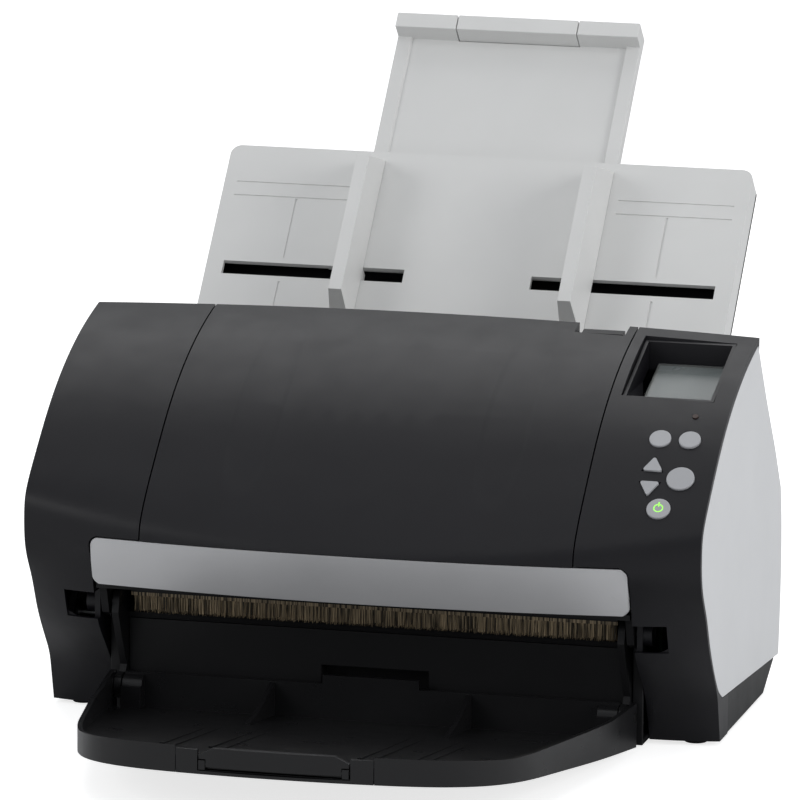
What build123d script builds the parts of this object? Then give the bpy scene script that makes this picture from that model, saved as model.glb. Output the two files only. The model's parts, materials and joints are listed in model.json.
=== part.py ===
from build123d import *
from math import cos, radians, sin, tan
import os

# A compact document scanner that takes A4 sheets: a feeder at the top rear,
# a front cover on a hinge, and a stacker that folds up against the front.
# +X is to the right, +Y to the rear, +Z up, with Z zero on the desk.

# Overall sizes of the body. Heights are above the desk, and depths are measured
# to the rear from the foremost line of the body's two sides.
half_width = 150.0
rear_depth = 171.0
top_edge_depth = 118.0
top_edge_height = 166.5
nose_height = 91.0
front_bow = 14.0
nose_drop = 12.0
nose_turn = 3.0
nose_fall = 46.0
nose_slope = 0.97
crown_rise = 3.2
wall = 2.5
running_gap = 0.6
face_gap = 0.3

# The slope of the front: depth, height and fall in degrees at four places.
upper_slope_depth, upper_slope_height = 85.0, 158.0
middle_slope_depth, middle_slope_height = 45.0, 139.0
lower_slope_depth, lower_slope_height = 15.0, 116.0
top_edge_fall, upper_slope_fall = 11.0, 20.0
middle_slope_fall, lower_slope_fall = 31.0, 47.0

# The undercut of the two front legs, from below the nose to the desk.
leg_brow_depth, leg_brow_height = 2.5, 78.0
leg_upper_depth, leg_upper_height = 11.0, 65.0
leg_middle_depth, leg_middle_height = 20.5, 48.0
leg_lower_depth, leg_lower_height = 37.0, 27.0
leg_toe_depth, leg_toe_height = 46.0, 2.0
leg_turn = 8.0
leg_heel_depth = 62.0

# The split of the front and the opening under the cover.
seam_half = half_width - 54.0
trim_half = half_width - 31.0
leg_inner_half = half_width - 30.4
lip_height = 87.4
side_cover_inner = half_width - 2.4

# The paper path: the chute's slope, a bend, and a flatter run to the exit.
chute_pitch = 46.3
chute_foot_depth = 147.0
chute_foot_height = 122.0
exit_pitch = 12.6
exit_depth = 29.0
exit_height = 47.3
bend_radius = 34.0
guide_half = half_width - 39.1
scan_half = half_width - 43.0
path_gap = 5.0

# The chute, its extension and the two side guides, along and across its plane.
chute_half = half_width - 28.5
chute_foot = -6.0
chute_length = 134.0
chute_skin = 2.5
chute_thickness = 14.5
extension_half = 57.0
extension_reach = 210.4
extension_tip_half = 28.1
guide_inner = 48.5
guide_foot_width = 8.5
guide_height = 24.0
slot_centre = 67.5
slot_width = 7.0
slot_start, slot_end = 29.4, half_width - 36.4
pinion_radius = 5.0

# The stacker, its slides and its hinge.
stacker_reach = 144.0
stacker_tilt = 6.1
stacker_rear_depth = 24.0
stacker_pivot_depth = 22.0
stacker_pivot_height = 16.0
stacker_slide_half = 42.8
stacker_tip_half = 32.6

# The cover's hinge and the pins of both hinges.
cover_pivot_depth = 20.0
cover_pivot_height = 54.0
pin_radius = 2.5
pin_fit = 0.05
frame_inner = half_width - 38.8
frame_outer = half_width - 35.8
arm_inner = half_width - 34.6
arm_outer = half_width - 31.4
pin_end = half_width - 24.0
boss_radius = 5.5

# Rollers.
shaft_radius = 3.0
feed_radius = 8.0
eject_radius = 6.5
pick_radius = 13.0
brake_radius = 8.0
idler_radius = 5.0
idler_shaft_radius = 2.0
nip = 0.3
feed_along = 48.0
eject_along = 9.0
pick_along = -59.0
unit_start, unit_end = 16.5, 38.5

# The origin lies under the middle of the whole outline, so the foremost line
# of the sides lies ahead of it by half the difference of the two reaches.
chute_reach = chute_foot_depth + extension_reach * cos(radians(chute_pitch))
chute_reach = chute_reach + chute_thickness * sin(radians(chute_pitch)) * 0.83
nose_y = (stacker_reach - chute_reach) / 2


# Planes. Each sketch on a side plane is drawn in depth and height.
def side_plane(x):
    return Plane(origin=(x, nose_y, 0), x_dir=(0, 1, 0), z_dir=(1, 0, 0))


def level_plane(height):
    return Plane(origin=(0, nose_y, height), x_dir=(1, 0, 0), z_dir=(0, 0, 1))


def front_plane(depth):
    return Plane(origin=(0, nose_y + depth, 0), x_dir=(1, 0, 0), z_dir=(0, -1, 0))


def sloping_plane(depth, height, pitch, lift):
    rise = radians(pitch)
    return Plane(
        origin=(0, nose_y + depth - lift * sin(rise), height + lift * cos(rise)),
        x_dir=(1, 0, 0),
        z_dir=(0, -sin(rise), cos(rise)),
    )


def chute_plane(lift):
    return sloping_plane(chute_foot_depth, chute_foot_height, chute_pitch, lift)


def exit_plane(lift):
    return sloping_plane(exit_depth, exit_height, exit_pitch, lift)


def stacker_plane(lift):
    return sloping_plane(stacker_rear_depth, 2.5, -stacker_tilt, lift)


# Places along the sloping planes, as depth and height.
def chute_point(along, lift):
    rise = radians(chute_pitch)
    depth = chute_foot_depth + along * cos(rise) - lift * sin(rise)
    return depth, chute_foot_height + along * sin(rise) + lift * cos(rise)


def exit_point(along, lift):
    rise = radians(exit_pitch)
    depth = exit_depth + along * cos(rise) - lift * sin(rise)
    return depth, exit_height + along * sin(rise) + lift * cos(rise)


# Shapes that many pieces share.
def prism(points, x_start, x_end, mode=Mode.ADD):
    """A straight-sided bar along X with its outline in depth and height."""
    with BuildSketch(side_plane(x_start)) as outline:
        with BuildLine():
            Polyline(*points, close=True)
        make_face()
    extrude(outline.sketch, amount=x_end - x_start, mode=mode)


def block(x_start, x_end, front, back, bottom, top, mode=Mode.ADD):
    """A box between two places along X, two depths and two heights."""
    middle = (
        (x_start + x_end) / 2,
        nose_y + (front + back) / 2,
        (bottom + top) / 2,
    )
    with Locations(middle):
        Box(x_end - x_start, back - front, top - bottom, mode=mode)


def rod(x_start, x_end, depth, height, radius, mode=Mode.ADD):
    """A round bar along X."""
    with BuildSketch(side_plane(x_start)) as disc:
        with Locations((depth, height)):
            Circle(radius)
    extrude(disc.sketch, amount=x_end - x_start, mode=mode)


def slab(plane, x_start, x_end, low, high, thickness, mode=Mode.ADD):
    """A plate that lies on a sloping plane and is as thick as told."""
    with BuildSketch(plane) as outline:
        with Locations(((x_start + x_end) / 2, (low + high) / 2)):
            Rectangle(x_end - x_start, high - low)
    extrude(outline.sketch, amount=thickness, mode=mode)


# The front's outline at one place across the body.
def bow_at(x):
    return front_bow * (1 - (x / half_width) ** 2)


def nose_at(x):
    return nose_height - nose_drop * (1 - (x / half_width) ** 2)


def slope_points(x, inset):
    """Points down the slope to the nose, drawn in from the outside by inset."""
    rise = crown_rise * (1 - (x / half_width) ** 2)
    places = [
        (top_edge_depth, top_edge_height, top_edge_fall),
        (upper_slope_depth, upper_slope_height, upper_slope_fall),
        (middle_slope_depth, middle_slope_height, middle_slope_fall),
        (lower_slope_depth, lower_slope_height, lower_slope_fall),
        (
            nose_turn - bow_at(x),
            lower_slope_height
            - nose_slope * (lower_slope_depth - nose_turn + bow_at(x)),
            nose_fall,
        ),
    ]
    points = []
    for depth, height, fall in places:
        share = (height - nose_height) / (top_edge_height - nose_height)
        angle = radians(fall)
        points.append(
            (depth + inset * sin(angle), height + rise * share - inset * cos(angle))
        )
    points.append((inset - bow_at(x), nose_at(x)))
    return points


def leg_points(x, inset):
    """Points from the nose down the front of a leg to its toe."""
    bow = bow_at(x)
    across = max(0.0, (abs(x) - leg_inner_half) / (half_width - leg_inner_half))
    turn = leg_turn * (1 - across**2)
    return [
        (inset - bow, nose_at(x)),
        (leg_brow_depth + inset - 0.9 * bow, leg_brow_height),
        (leg_upper_depth + inset - 0.85 * bow - 0.5 * turn, leg_upper_height),
        (leg_middle_depth + inset - 0.6 * bow - turn, leg_middle_height),
        (leg_lower_depth + inset - turn, leg_lower_height),
        (leg_toe_depth + inset - 0.5 * turn, leg_toe_height + inset),
    ]


def slope_tangents():
    fall = radians(top_edge_fall)
    return [(-cos(fall), -sin(fall)), (0, -1)]


def leg_section(x, inset, heel):
    """The closed outline of a side shell at one place across the body."""
    slope = slope_points(x, inset)
    leg = leg_points(x, inset)
    with BuildSketch(side_plane(x)) as section:
        with BuildLine():
            Spline(*slope, tangents=slope_tangents())
            Spline(*leg, tangents=[(0, -1), (0.3, -1)])
            Polyline(
                leg[-1],
                (leg_heel_depth + heel, leg[-1][1]),
                (leg_heel_depth + heel, leg_upper_height),
                (top_edge_depth - wall + heel, lip_height + 10),
                slope[0],
            )
        make_face()
    return section.sketch


def cover_section(x, inset, drop):
    """The closed outline of the front cover, down to a nose that is cut at its lip."""
    slope = slope_points(x, inset)
    lip = (slope[-1][0] + 0.6, slope[-1][1] - 1.0 - drop)
    back = (top_edge_depth - 6.0 - inset, lip_height + 5.0 - drop)
    with BuildSketch(side_plane(x)) as section:
        with BuildLine():
            Spline(*slope, tangents=slope_tangents())
            Polyline(slope[-1], lip, back, slope[0])
        make_face()
    return section.sketch


# Places on the front's slope, for the buttons.
def slope_height(depth):
    """The height of the slope at the middle of the operator panel."""
    with BuildLine() as line:
        Spline(*slope_points(half_width - 21.0, 0.0), tangents=slope_tangents())
    edge = line.edges()[0]
    low, high = 0.0, 1.0
    for _ in range(30):
        middle = (low + high) / 2
        if (edge @ middle).X > depth:
            low = middle
        else:
            high = middle
    tangent = edge % low
    return (edge @ low).Y, tangent


os.makedirs("parts", exist_ok=True)
pieces = []


def keep(builder, name):
    """Label a finished piece and put it on the list to be written."""
    builder.part.label = name
    pieces.append(builder.part)


# The side covers' outline, drawn in from the front by inset and let down below.
side_rear = [(171.0, 13.0), (173.4, 34.0), (174.4, 60.0), (173.0, 78.0), (171.0, 89.0),
             (157.5, 108.5), (135.5, 136.2)]
side_top_depth, side_top_drop = 115.9, 0.5
side_toe_depth, side_toe_height = 50.4, 20.7


def side_foot_height(depth):
    """The height of the side covers' foot at a depth."""
    share = (depth - side_toe_depth) / (side_rear[0][0] - side_toe_depth)
    return side_toe_height + share * (side_rear[0][1] - side_toe_height)


def side_outline(x, inset, margin):
    """The flank's outline on one side plane, lowered at its foot by a margin."""
    slope = slope_points(half_width, inset)
    crest = (side_top_depth, slope[0][1] - side_top_drop)
    leg = leg_points(half_width, inset)[:5]
    leg.append((side_toe_depth, side_toe_height - margin))
    heel = (side_rear[0][0], side_rear[0][1] - margin)
    with BuildSketch(side_plane(x)) as outline:
        with BuildLine():
            Spline(crest, *slope[1:], tangents=slope_tangents())
            Spline(*leg, tangents=[(0, -1), (1, -0.45)])
            Line(leg[-1], heel)
            Spline(heel, *side_rear[1:5])
            Polyline(*side_rear[4:], crest)
        make_face()
    return outline.sketch


# The front shells left and right of the cover, moulded with the two legs.
# They are drawn on the right and mirrored to the left. A rim of the shell wraps
# around the front edge of the side cover.
shell_end = side_cover_inner - face_gap
rim_skin = 2.5
notch_half_end = half_width - 16.0
shell_stations = [seam_half + face_gap, seam_half + 12.0, leg_inner_half, notch_half_end,
                  half_width]
shell_room_stations = [seam_half - 4.0, seam_half + 12.0, leg_inner_half, notch_half_end,
                       shell_end - wall]
notch_low, notch_high = 47.5, 60.5
window_corner = 4.5
leg_wall_rear = 29.0
hopper_wall_end = seam_half + face_gap + wall
latch_depth, latch_height = 104.0, 148.0
latch_radius = 2.4
strike_end = 90.4
strike_depth, strike_height = latch_depth + 10.4, latch_height
strike_radius = 1.6
frame_slot_start, frame_slot_end = frame_inner - face_gap, frame_outer + face_gap
shell_back_low = 99.0

with BuildPart() as shell_body:
    loft([leg_section(x, 0.0, 0.0) for x in shell_stations])
    loft([leg_section(x, wall, 6.0) for x in shell_room_stations], mode=Mode.SUBTRACT)
    extrude(side_outline(shell_end, rim_skin, face_gap), amount=10, mode=Mode.SUBTRACT)
    # The rear wall, open where the chassis plate passes.
    for low, high, top in (
        (seam_half + face_gap, frame_slot_start, top_edge_height + 0.1),
        (frame_slot_end, shell_end - 0.2, top_edge_height - 0.9),
    ):
        prism(
            [(top_edge_depth - 2 * wall, shell_back_low),
             (top_edge_depth - wall, shell_back_low), (top_edge_depth - 0.1, top),
             (top_edge_depth - wall - 0.1, top)],
            low,
            high,
        )
    # The window that the cover's trim and its frame close and swing through.
    with BuildSketch(front_plane(-front_bow - 10)) as window:
        with Locations((0, (lip_height + 0.4) / 2 - 5)):
            RectangleRounded(2 * leg_inner_half, lip_height + 10.4, window_corner)
    extrude(window.sketch, amount=-150, mode=Mode.SUBTRACT)
    # The inner wall of the leg, with a boss for both hinge pins.
    inner = leg_points(leg_inner_half, wall / 2)
    prism(
        [
            (inner[1][0], inner[1][1] + 4),
            inner[2],
            inner[3],
            inner[4],
            (inner[5][0], leg_toe_height + 0.4),
            (leg_heel_depth - 1, leg_toe_height + 0.4),
            (leg_heel_depth - 1, leg_lower_height),
            (leg_wall_rear, leg_lower_height + 6),
            (leg_wall_rear, leg_upper_height),
            (inner[1][0] + 14, inner[1][1] + 4),
        ],
        leg_inner_half,
        leg_inner_half + wall,
    )
    rod(leg_inner_half, pin_end, cover_pivot_depth, cover_pivot_height, boss_radius)
    # The notch beside the opening, in the skin in front of the cover's hinge.
    block(leg_inner_half - 1, notch_half_end, -10, 14.2, notch_low, notch_high,
          mode=Mode.SUBTRACT)
    pin_bore = pin_radius + pin_fit
    rod(leg_inner_half - 1, pin_end + 1, cover_pivot_depth, cover_pivot_height,
        pin_bore, mode=Mode.SUBTRACT)
    # The wall beside the hopper, which guides the sheet's edge.
    prism(
        [(94.0, 76.0), (94.0, 160.8), (117.8, 166.8), (117.8, 97.0), (112.0, 91.5)],
        seam_half + face_gap,
        hopper_wall_end,
    )
    # The strike that the release latch closes towards.
    rod(strike_end, seam_half + 1, strike_depth, strike_height, strike_radius)


# The operator panel on the right shell: where each control stands across the
# body and how deep, with the size of its cap.
button_rise = 0.8
button_travel = 0.8
button_fit = 0.25
flange_rim = 0.9
round_buttons = {
    "menu_button": (half_width - 26.7, 39.1, 4.8),
    "stop_button": (half_width - 13.8, 39.3, 4.8),
    "scan_button": (half_width - 14.0, 22.0, 6.1),
    "power_button": (half_width - 20.7, 9.2, 5.2),
}
arrow_buttons = {
    "up_button": (half_width - 26.9, 26.6, 5.2, 90),
    "down_button": (half_width - 26.9, 18.0, 5.2, -90),
}
lamp_place = (half_width - 14.1, 51.7, 1.3)
recess_left, recess_right = half_width - 49.0, half_width - 8.0
recess_front, recess_back = 61.0, 109.4
display_pitch = 17.0


def panel_plane(x, depth, lift):
    """A plane on the slope of the operator panel, facing straight out of it."""
    height, tangent = slope_height(depth)
    out = Vector(0, -tangent.Y, tangent.X)
    if out.Z < 0:
        out = out * -1
    origin = Vector(x, nose_y + depth, height) + out * lift
    return Plane(origin=origin, x_dir=(1, 0, 0), z_dir=out)


with BuildPart() as left_front_shell:
    add(mirror(shell_body.part, about=Plane.YZ))
keep(left_front_shell, "left_front_shell")

with BuildPart() as right_front_shell:
    add(shell_body.part)
    block(recess_left, recess_right, recess_front, recess_back, 140, 175,
          mode=Mode.SUBTRACT)
    for x, depth, radius in round_buttons.values():
        with BuildSketch(panel_plane(x, depth, -8)) as hole:
            Circle(radius + button_fit)
        extrude(hole.sketch, amount=16, mode=Mode.SUBTRACT)
    for x, depth, radius, turn in arrow_buttons.values():
        with BuildSketch(panel_plane(x, depth, -8)) as hole:
            RegularPolygon(radius + 2 * button_fit, 3, rotation=turn)
        extrude(hole.sketch, amount=16, mode=Mode.SUBTRACT)
    with BuildSketch(panel_plane(lamp_place[0], lamp_place[1], -8)) as hole:
        Circle(lamp_place[2] + pin_fit)
    extrude(hole.sketch, amount=16, mode=Mode.SUBTRACT)
keep(right_front_shell, "right_front_shell")

for name, (x, depth, radius) in round_buttons.items():
    with BuildPart() as button:
        with BuildSketch(panel_plane(x, depth, -wall - 1.4)) as cap:
            Circle(radius)
        extrude(cap.sketch, amount=wall + 1.4 + button_rise)
        with BuildSketch(panel_plane(x, depth, -wall - 1.4)) as flange:
            Circle(radius + flange_rim)
        extrude(flange.sketch, amount=0.9)
        fillet(button.edges().filter_by(GeomType.CIRCLE).group_by(
            lambda e: round((e.center() - panel_plane(x, depth, 0).origin).dot(
                panel_plane(x, depth, 0).z_dir), 2))[-1], 0.5)
    keep(button, name)

for name, (x, depth, radius, turn) in arrow_buttons.items():
    with BuildPart() as button:
        with BuildSketch(panel_plane(x, depth, -wall - 1.4)) as cap:
            RegularPolygon(radius, 3, rotation=turn)
            fillet(cap.vertices(), 0.8)
        extrude(cap.sketch, amount=wall + 1.4 + button_rise)
        with BuildSketch(panel_plane(x, depth, -wall - 1.4)) as flange:
            RegularPolygon(radius + 2 * flange_rim, 3, rotation=turn)
            fillet(flange.vertices(), 0.8)
        extrude(flange.sketch, amount=0.9)
    keep(button, name)

with BuildPart() as check_lamp:
    with BuildSketch(panel_plane(lamp_place[0], lamp_place[1], -4.0)) as lens:
        Circle(lamp_place[2])
    extrude(lens.sketch, amount=4.3)
keep(check_lamp, "check_lamp")

# The display's tub, the display on its floor and the clear window over it.
tub_wall = 1.5
tub_front, tub_back = recess_front + face_gap, recess_back - face_gap
tub_fall = (recess_back - recess_front) * sin(radians(display_pitch))
tub_floor = 138.0
tub_ramp = 5.0

with BuildPart() as display_bezel:
    prism(
        [(tub_front, tub_floor), (tub_front, 148.4), (tub_back, 164.8),
         (tub_back, tub_floor + tub_fall)],
        recess_left + face_gap,
        recess_right - face_gap,
    )
    prism(
        [(tub_front + tub_wall, tub_floor + 2.2), (tub_front + tub_wall, 170),
         (tub_back - tub_wall, 170), (tub_back - tub_wall, tub_floor + tub_fall + 1.9)],
        recess_left + face_gap + tub_wall + tub_ramp,
        recess_right - face_gap - tub_wall,
        mode=Mode.SUBTRACT,
    )
    # The left wall leans outwards, so that the display is read from the left.
    with BuildSketch(front_plane(tub_front + tub_wall)) as ramp:
        with BuildLine():
            Polyline(
                (recess_left + face_gap + tub_wall + tub_ramp + 0.1, tub_floor + 4.0),
                (recess_left + face_gap + tub_wall + tub_ramp + 0.1, 170),
                (recess_left + face_gap + tub_wall, 170),
                (recess_left + face_gap + tub_wall, tub_floor + 10.5),
                close=True,
            )
        make_face()
    extrude(ramp.sketch, amount=-(tub_back - tub_front - 2 * tub_wall),
            mode=Mode.SUBTRACT)
keep(display_bezel, "display_bezel")

display_foot = tub_front + tub_wall + 0.6
display_left = recess_left + face_gap + tub_wall + tub_ramp + 0.2


def display_plane(lift):
    return sloping_plane(display_foot, tub_floor + 2.3, display_pitch, lift)


with BuildPart() as display_panel:
    slab(display_plane(face_gap), display_left + 0.8, recess_right - 3.0, 0.0,
         tub_back - tub_front - 4.0, 1.0)
keep(display_panel, "display_panel")

with BuildPart() as display_window:
    slab(display_plane(face_gap + 1.05), display_left, recess_right - 2.2, 0.0,
         tub_back - tub_front - 3.6, 0.8)
keep(display_window, "display_window")

# The front cover between the seams, with a notch for the release tab.
tab_left, tab_right = seam_half - 26.5, seam_half - 4.0
tab_front, tab_back = 107.5, 117.6
tab_pocket_low = latch_height + 8.8
half = seam_half - face_gap
room_half = half - wall

with BuildPart() as cover_room:
    loft([cover_section(room_half * k / 2, wall, 8.0) for k in range(-2, 3)])
    # The room ends in front of the cover's leaning rear wall.
    prism(
        [(top_edge_depth - wall - 8.5, lip_height - 27.0),
         (top_edge_depth - wall + 0.8, top_edge_height + 13.5),
         (top_edge_depth + 20, top_edge_height + 13.5),
         (top_edge_depth + 20, lip_height - 27.0)],
        -half,
        half,
        mode=Mode.SUBTRACT,
    )

with BuildPart() as adf_cover:
    loft([cover_section(half * k / 2, 0.0, 0.0) for k in range(-2, 3)])
    block(-half - 1, half + 1, -front_bow - 5, top_edge_depth + 1, lip_height - 40,
          lip_height, mode=Mode.SUBTRACT)
    add(cover_room.part, mode=Mode.SUBTRACT)
    block(tab_left, tab_right, tab_front, top_edge_depth + 1, tab_pocket_low,
          tab_pocket_low + 30, mode=Mode.SUBTRACT)
    rod(-half - 1, half + 1, latch_depth, latch_height, latch_radius + pin_fit,
        mode=Mode.SUBTRACT)
    # Room for the two strikes to leave by the rear as the cover swings.
    for side in (-1, 1):
        low, high = sorted((side * (strike_end - 0.6), side * (half + 1)))
        block(low, high, strike_depth - 2.4, top_edge_depth + 4, strike_height - 9,
              strike_height + 2.4, mode=Mode.SUBTRACT)
keep(adf_cover, "adf_cover")

with BuildPart() as release_latch:
    rod(-half + 0.4, half - 0.4, latch_depth, latch_height, latch_radius)
    hook_end = strike_depth - strike_radius - 0.9
    for side in (-1, 1):
        low, high = sorted((side * (room_half - 2.6), side * (room_half - 0.4)))
        prism(
            [(latch_depth, latch_height - 4), (latch_depth, latch_height + 4),
             (hook_end - 1, latch_height + 3.4), (hook_end, latch_height + 1),
             (hook_end - 1.6, latch_height - 2.2)],
            low,
            high,
        )
    prism(
        [(latch_depth - 2.2, latch_height), (latch_depth + 2.2, latch_height - 1),
         (tab_back - 3, latch_height + 9.5), (tab_back - 0.2, latch_height + 12),
         (tab_back, latch_height + 18.4), (tab_front + 5.2, latch_height + 17.6),
         (tab_front + 5.2, latch_height + 13)],
        tab_left + 2.0,
        tab_right - 2.0,
    )
keep(release_latch, "release_latch")

# The bright trim across the cover's foot, with a flange at its top and bottom.
trim_top = lip_height - 0.4
trim_bottom = 65.5
trim_lean = 5.0
trim_skin = 2.2
trim_front = 0.6
web_front = 3.1
flange_back = 7.8


def trim_section(x):
    """The trim's outline at one place across the body, open to the rear."""
    top = trim_front - bow_at(x)
    low = top + trim_lean
    middle = top + 0.38 * trim_lean
    points = [
        (top, trim_top),
        (middle - 0.2, (trim_top + trim_bottom) / 2),
        (low, trim_bottom),
        (flange_back, trim_bottom),
        (flange_back, trim_bottom + trim_skin),
        (low + trim_skin, trim_bottom + trim_skin),
        (top + trim_skin, trim_top - trim_skin),
        (web_front - face_gap, trim_top - trim_skin),
        (web_front - face_gap, trim_top),
    ]
    with BuildSketch(side_plane(x)) as section:
        with BuildLine():
            Polyline(*points, close=True)
        make_face()
    return section.sketch


with BuildPart() as front_trim:
    loft([trim_section(trim_half * k / 2) for k in range(-2, 3)])
    with BuildSketch(front_plane(-front_bow - 10)) as face:
        with Locations((0, (trim_top + trim_bottom) / 2)):
            RectangleRounded(2 * trim_half, trim_top - trim_bottom, window_corner - 0.6)
    extrude(face.sketch, amount=-60, mode=Mode.INTERSECT)
keep(front_trim, "front_trim")

# The cover's frame: a web behind the trim, a floor, ribs and the two hinge arms.
web_back = web_front + wall
web_top = trim_top - face_gap
floor_low, floor_top = 62.8, trim_bottom - face_gap
floor_wide_back = 19.5
ear_inner, ear_outer = 37.5, 40.5
unit_front = exit_point(unit_start, 0)
floor_back = unit_front[0] - (floor_top - unit_front[1]) * tan(radians(exit_pitch)) - 0.2
eject_idler = exit_point(eject_along, idler_radius + 2 * nip)

with BuildPart() as cover_frame:
    block(-arm_outer, arm_outer, web_front, web_back, trim_bottom + trim_skin + face_gap,
          web_top)
    block(-arm_outer, arm_outer, web_back, 14.0, web_top - 2.0, web_top)
    block(-arm_outer, arm_outer, 4.0, floor_wide_back, floor_low, floor_top)
    block(-frame_inner + 1.2, frame_inner - 1.2, floor_wide_back, floor_back, floor_low,
          floor_top)
    for place in (-108.0, -72.0, -36.0, 0.0, 36.0, 72.0, 108.0):
        prism(
            [(web_back - 0.2, web_top - 0.5), (13.0, web_top - 0.5),
             (floor_back - 2, floor_top - 0.2), (flange_back + face_gap, floor_top - 0.2),
             (flange_back + face_gap, trim_bottom + trim_skin + face_gap),
             (web_back - 0.2, trim_bottom + trim_skin + face_gap)],
            place - 1.0,
            place + 1.0,
        )
    # Posts that the front cover is screwed to, and ears for the idlers' shaft.
    for side in (-1, 1):
        low, high = sorted((side * (room_half - 5), side * (room_half - 0.2)))
        block(low, high, 10.0, 20.0, web_top - 2.0, 104.0)
        low, high = sorted((side * ear_inner, side * ear_outer))
        block(low, high, eject_idler[0] - 3.5, eject_idler[0] + 3.5, eject_idler[1] - 3.5,
              floor_top)
        rod(low - 1, high + 1, eject_idler[0], eject_idler[1],
            idler_shaft_radius + pin_fit, mode=Mode.SUBTRACT)
    for side in (-1, 1):
        low, high = sorted((side * arm_inner, side * arm_outer))
        prism(
            [(web_front, web_top), (14.0, web_top), (27.0, 62.0), (27.0, 50.5),
             (20.0, 47.5), (13.5, 50.0), (10.0, 60.0), (8.3, floor_low),
             (8.3, trim_bottom + trim_skin + face_gap),
             (web_front, trim_bottom + trim_skin + face_gap)],
            low,
            high,
        )
        rod(low - 1, high + 1, cover_pivot_depth, cover_pivot_height,
            pin_radius + pin_fit, mode=Mode.SUBTRACT)
keep(cover_frame, "cover_frame")

# The brush that sweeps the leaving sheet, held under the frame's floor.
brush_half = 108.6
brush_depth = 26.6
brush_back_top = floor_low - 0.05
brush_back_low = 55.6
slice_height = 1.6
bristle_width = 0.55
bristle_length = 6.9
bristle_rows = 2
bristles_per_row = 186

with BuildPart() as brush_holder:
    block(-brush_half, brush_half, brush_depth - 2.2, brush_depth + 2.2,
          brush_back_low + slice_height, brush_back_top)
keep(brush_holder, "brush_holder")

with BuildPart() as exit_brush:
    block(-brush_half, brush_half, brush_depth - 1.6, brush_depth + 1.6, brush_back_low,
          brush_back_low + slice_height - 0.02)
    tops = Plane(origin=(0, nose_y + brush_depth, brush_back_low + 0.4), x_dir=(1, 0, 0),
                 z_dir=(0, 0, -1))
    pitch = 2 * (brush_half - 1.0) / bristles_per_row
    strands = []
    for group in range(12):
        length = bristle_length * (1 - 0.02 * ((group * 5) % 12))
        lean = 0.014 * ((group * 7) % 12 - 5.5) / 5.5
        with BuildSketch(tops) as feet:
            for row in range(bristle_rows):
                offset = (row - (bristle_rows - 1) / 2) * 1.3
                places = [
                    (-brush_half + 1.0 + (index + 0.25 + 0.5 * row) * pitch, offset)
                    for index in range(bristles_per_row)
                    if (index * 5 + row * 7) % 12 == group
                ]
                with Locations(*places):
                    Rectangle(bristle_width, bristle_width)
        strands.append(extrude(feet.sketch, amount=length + 0.4, dir=(lean, 0, -1),
                               mode=Mode.PRIVATE))
    add([solid for strand in strands for solid in strand.solids()])
keep(exit_brush, "exit_brush")

# The scan units, their glasses and the rollers of the cover.
unit_half = guide_half
glass_half = scan_half
glass_start, glass_end = unit_start + 2.5, unit_end - 2.5
glass_skin = 1.05

with BuildPart() as upper_imaging_unit:
    slab(exit_plane(path_gap), -unit_half + 0.9, unit_half - 0.9, unit_start, unit_end, 19.0)
    slab(exit_plane(path_gap - 1), -glass_half - 1, glass_half + 1, glass_start - 1,
         glass_end + 1, 1.5)
    slab(exit_plane(path_gap - 2), -glass_half - 0.05, glass_half + 0.05,
         glass_start - 0.05, glass_end + 0.05, glass_skin + 1.0, mode=Mode.SUBTRACT)
keep(upper_imaging_unit, "upper_imaging_unit")

with BuildPart() as upper_scan_glass:
    slab(exit_plane(path_gap - 1), -glass_half, glass_half, glass_start, glass_end,
         glass_skin - 0.05)
keep(upper_scan_glass, "upper_scan_glass")

with BuildPart() as lower_imaging_unit:
    slab(exit_plane(-28.0), -unit_half, unit_half, unit_start, unit_end, 25.2)
    slab(exit_plane(-3.0), -glass_half - 1, glass_half + 1, unit_start + 0.5,
         unit_end - 0.5, 2.7)
    slab(exit_plane(-0.25 - glass_skin), -glass_half - 0.05, glass_half + 0.05,
         glass_start - 0.05, glass_end + 0.05, 4.0, mode=Mode.SUBTRACT)
keep(lower_imaging_unit, "lower_imaging_unit")

with BuildPart() as lower_scan_glass:
    slab(exit_plane(-0.2 - glass_skin), -glass_half, glass_half, glass_start, glass_end,
         glass_skin - 0.05)
keep(lower_scan_glass, "lower_scan_glass")

# The two paper guides follow the path: flat run, bend and chute slope.
bend_turn = radians(chute_pitch - exit_pitch)
path_depth = chute_foot_depth - exit_depth
path_height = chute_foot_height - exit_height
chute_rise, exit_rise = radians(chute_pitch), radians(exit_pitch)
corner_from_exit = (path_depth * sin(chute_rise) - path_height * cos(chute_rise)) / sin(
    bend_turn
)
corner_from_chute = (path_depth * sin(exit_rise) - path_height * cos(exit_rise)) / sin(
    bend_turn
)
bend_reach = bend_radius * tan(bend_turn / 2)
bend_start = corner_from_exit - bend_reach
bend_end = corner_from_chute + bend_reach
bend_centre = exit_point(bend_start, bend_radius)
bend_middle = (chute_rise + exit_rise) / 2


def bend_point(lift):
    reach = bend_radius - lift
    return (
        bend_centre[0] + reach * sin(bend_middle),
        bend_centre[1] - reach * cos(bend_middle),
    )


def path_strip(low, high, exit_end, chute_end, x_start, x_end):
    """A strip between two lifts that follows the paper's path."""
    with BuildSketch(side_plane(x_start)) as outline:
        with BuildLine():
            Line(exit_point(exit_end, high), exit_point(exit_end, low))
            Line(exit_point(exit_end, low), exit_point(bend_start, low))
            ThreePointArc(
                exit_point(bend_start, low), bend_point(low), chute_point(bend_end, low)
            )
            Line(chute_point(bend_end, low), chute_point(chute_end, low))
            Line(chute_point(chute_end, low), chute_point(chute_end, high))
            Line(chute_point(chute_end, high), chute_point(bend_end, high))
            ThreePointArc(
                chute_point(bend_end, high), bend_point(high), exit_point(bend_start, high)
            )
            Line(exit_point(bend_start, high), exit_point(exit_end, high))
        make_face()
    extrude(outline.sketch, amount=x_end - x_start)


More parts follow.
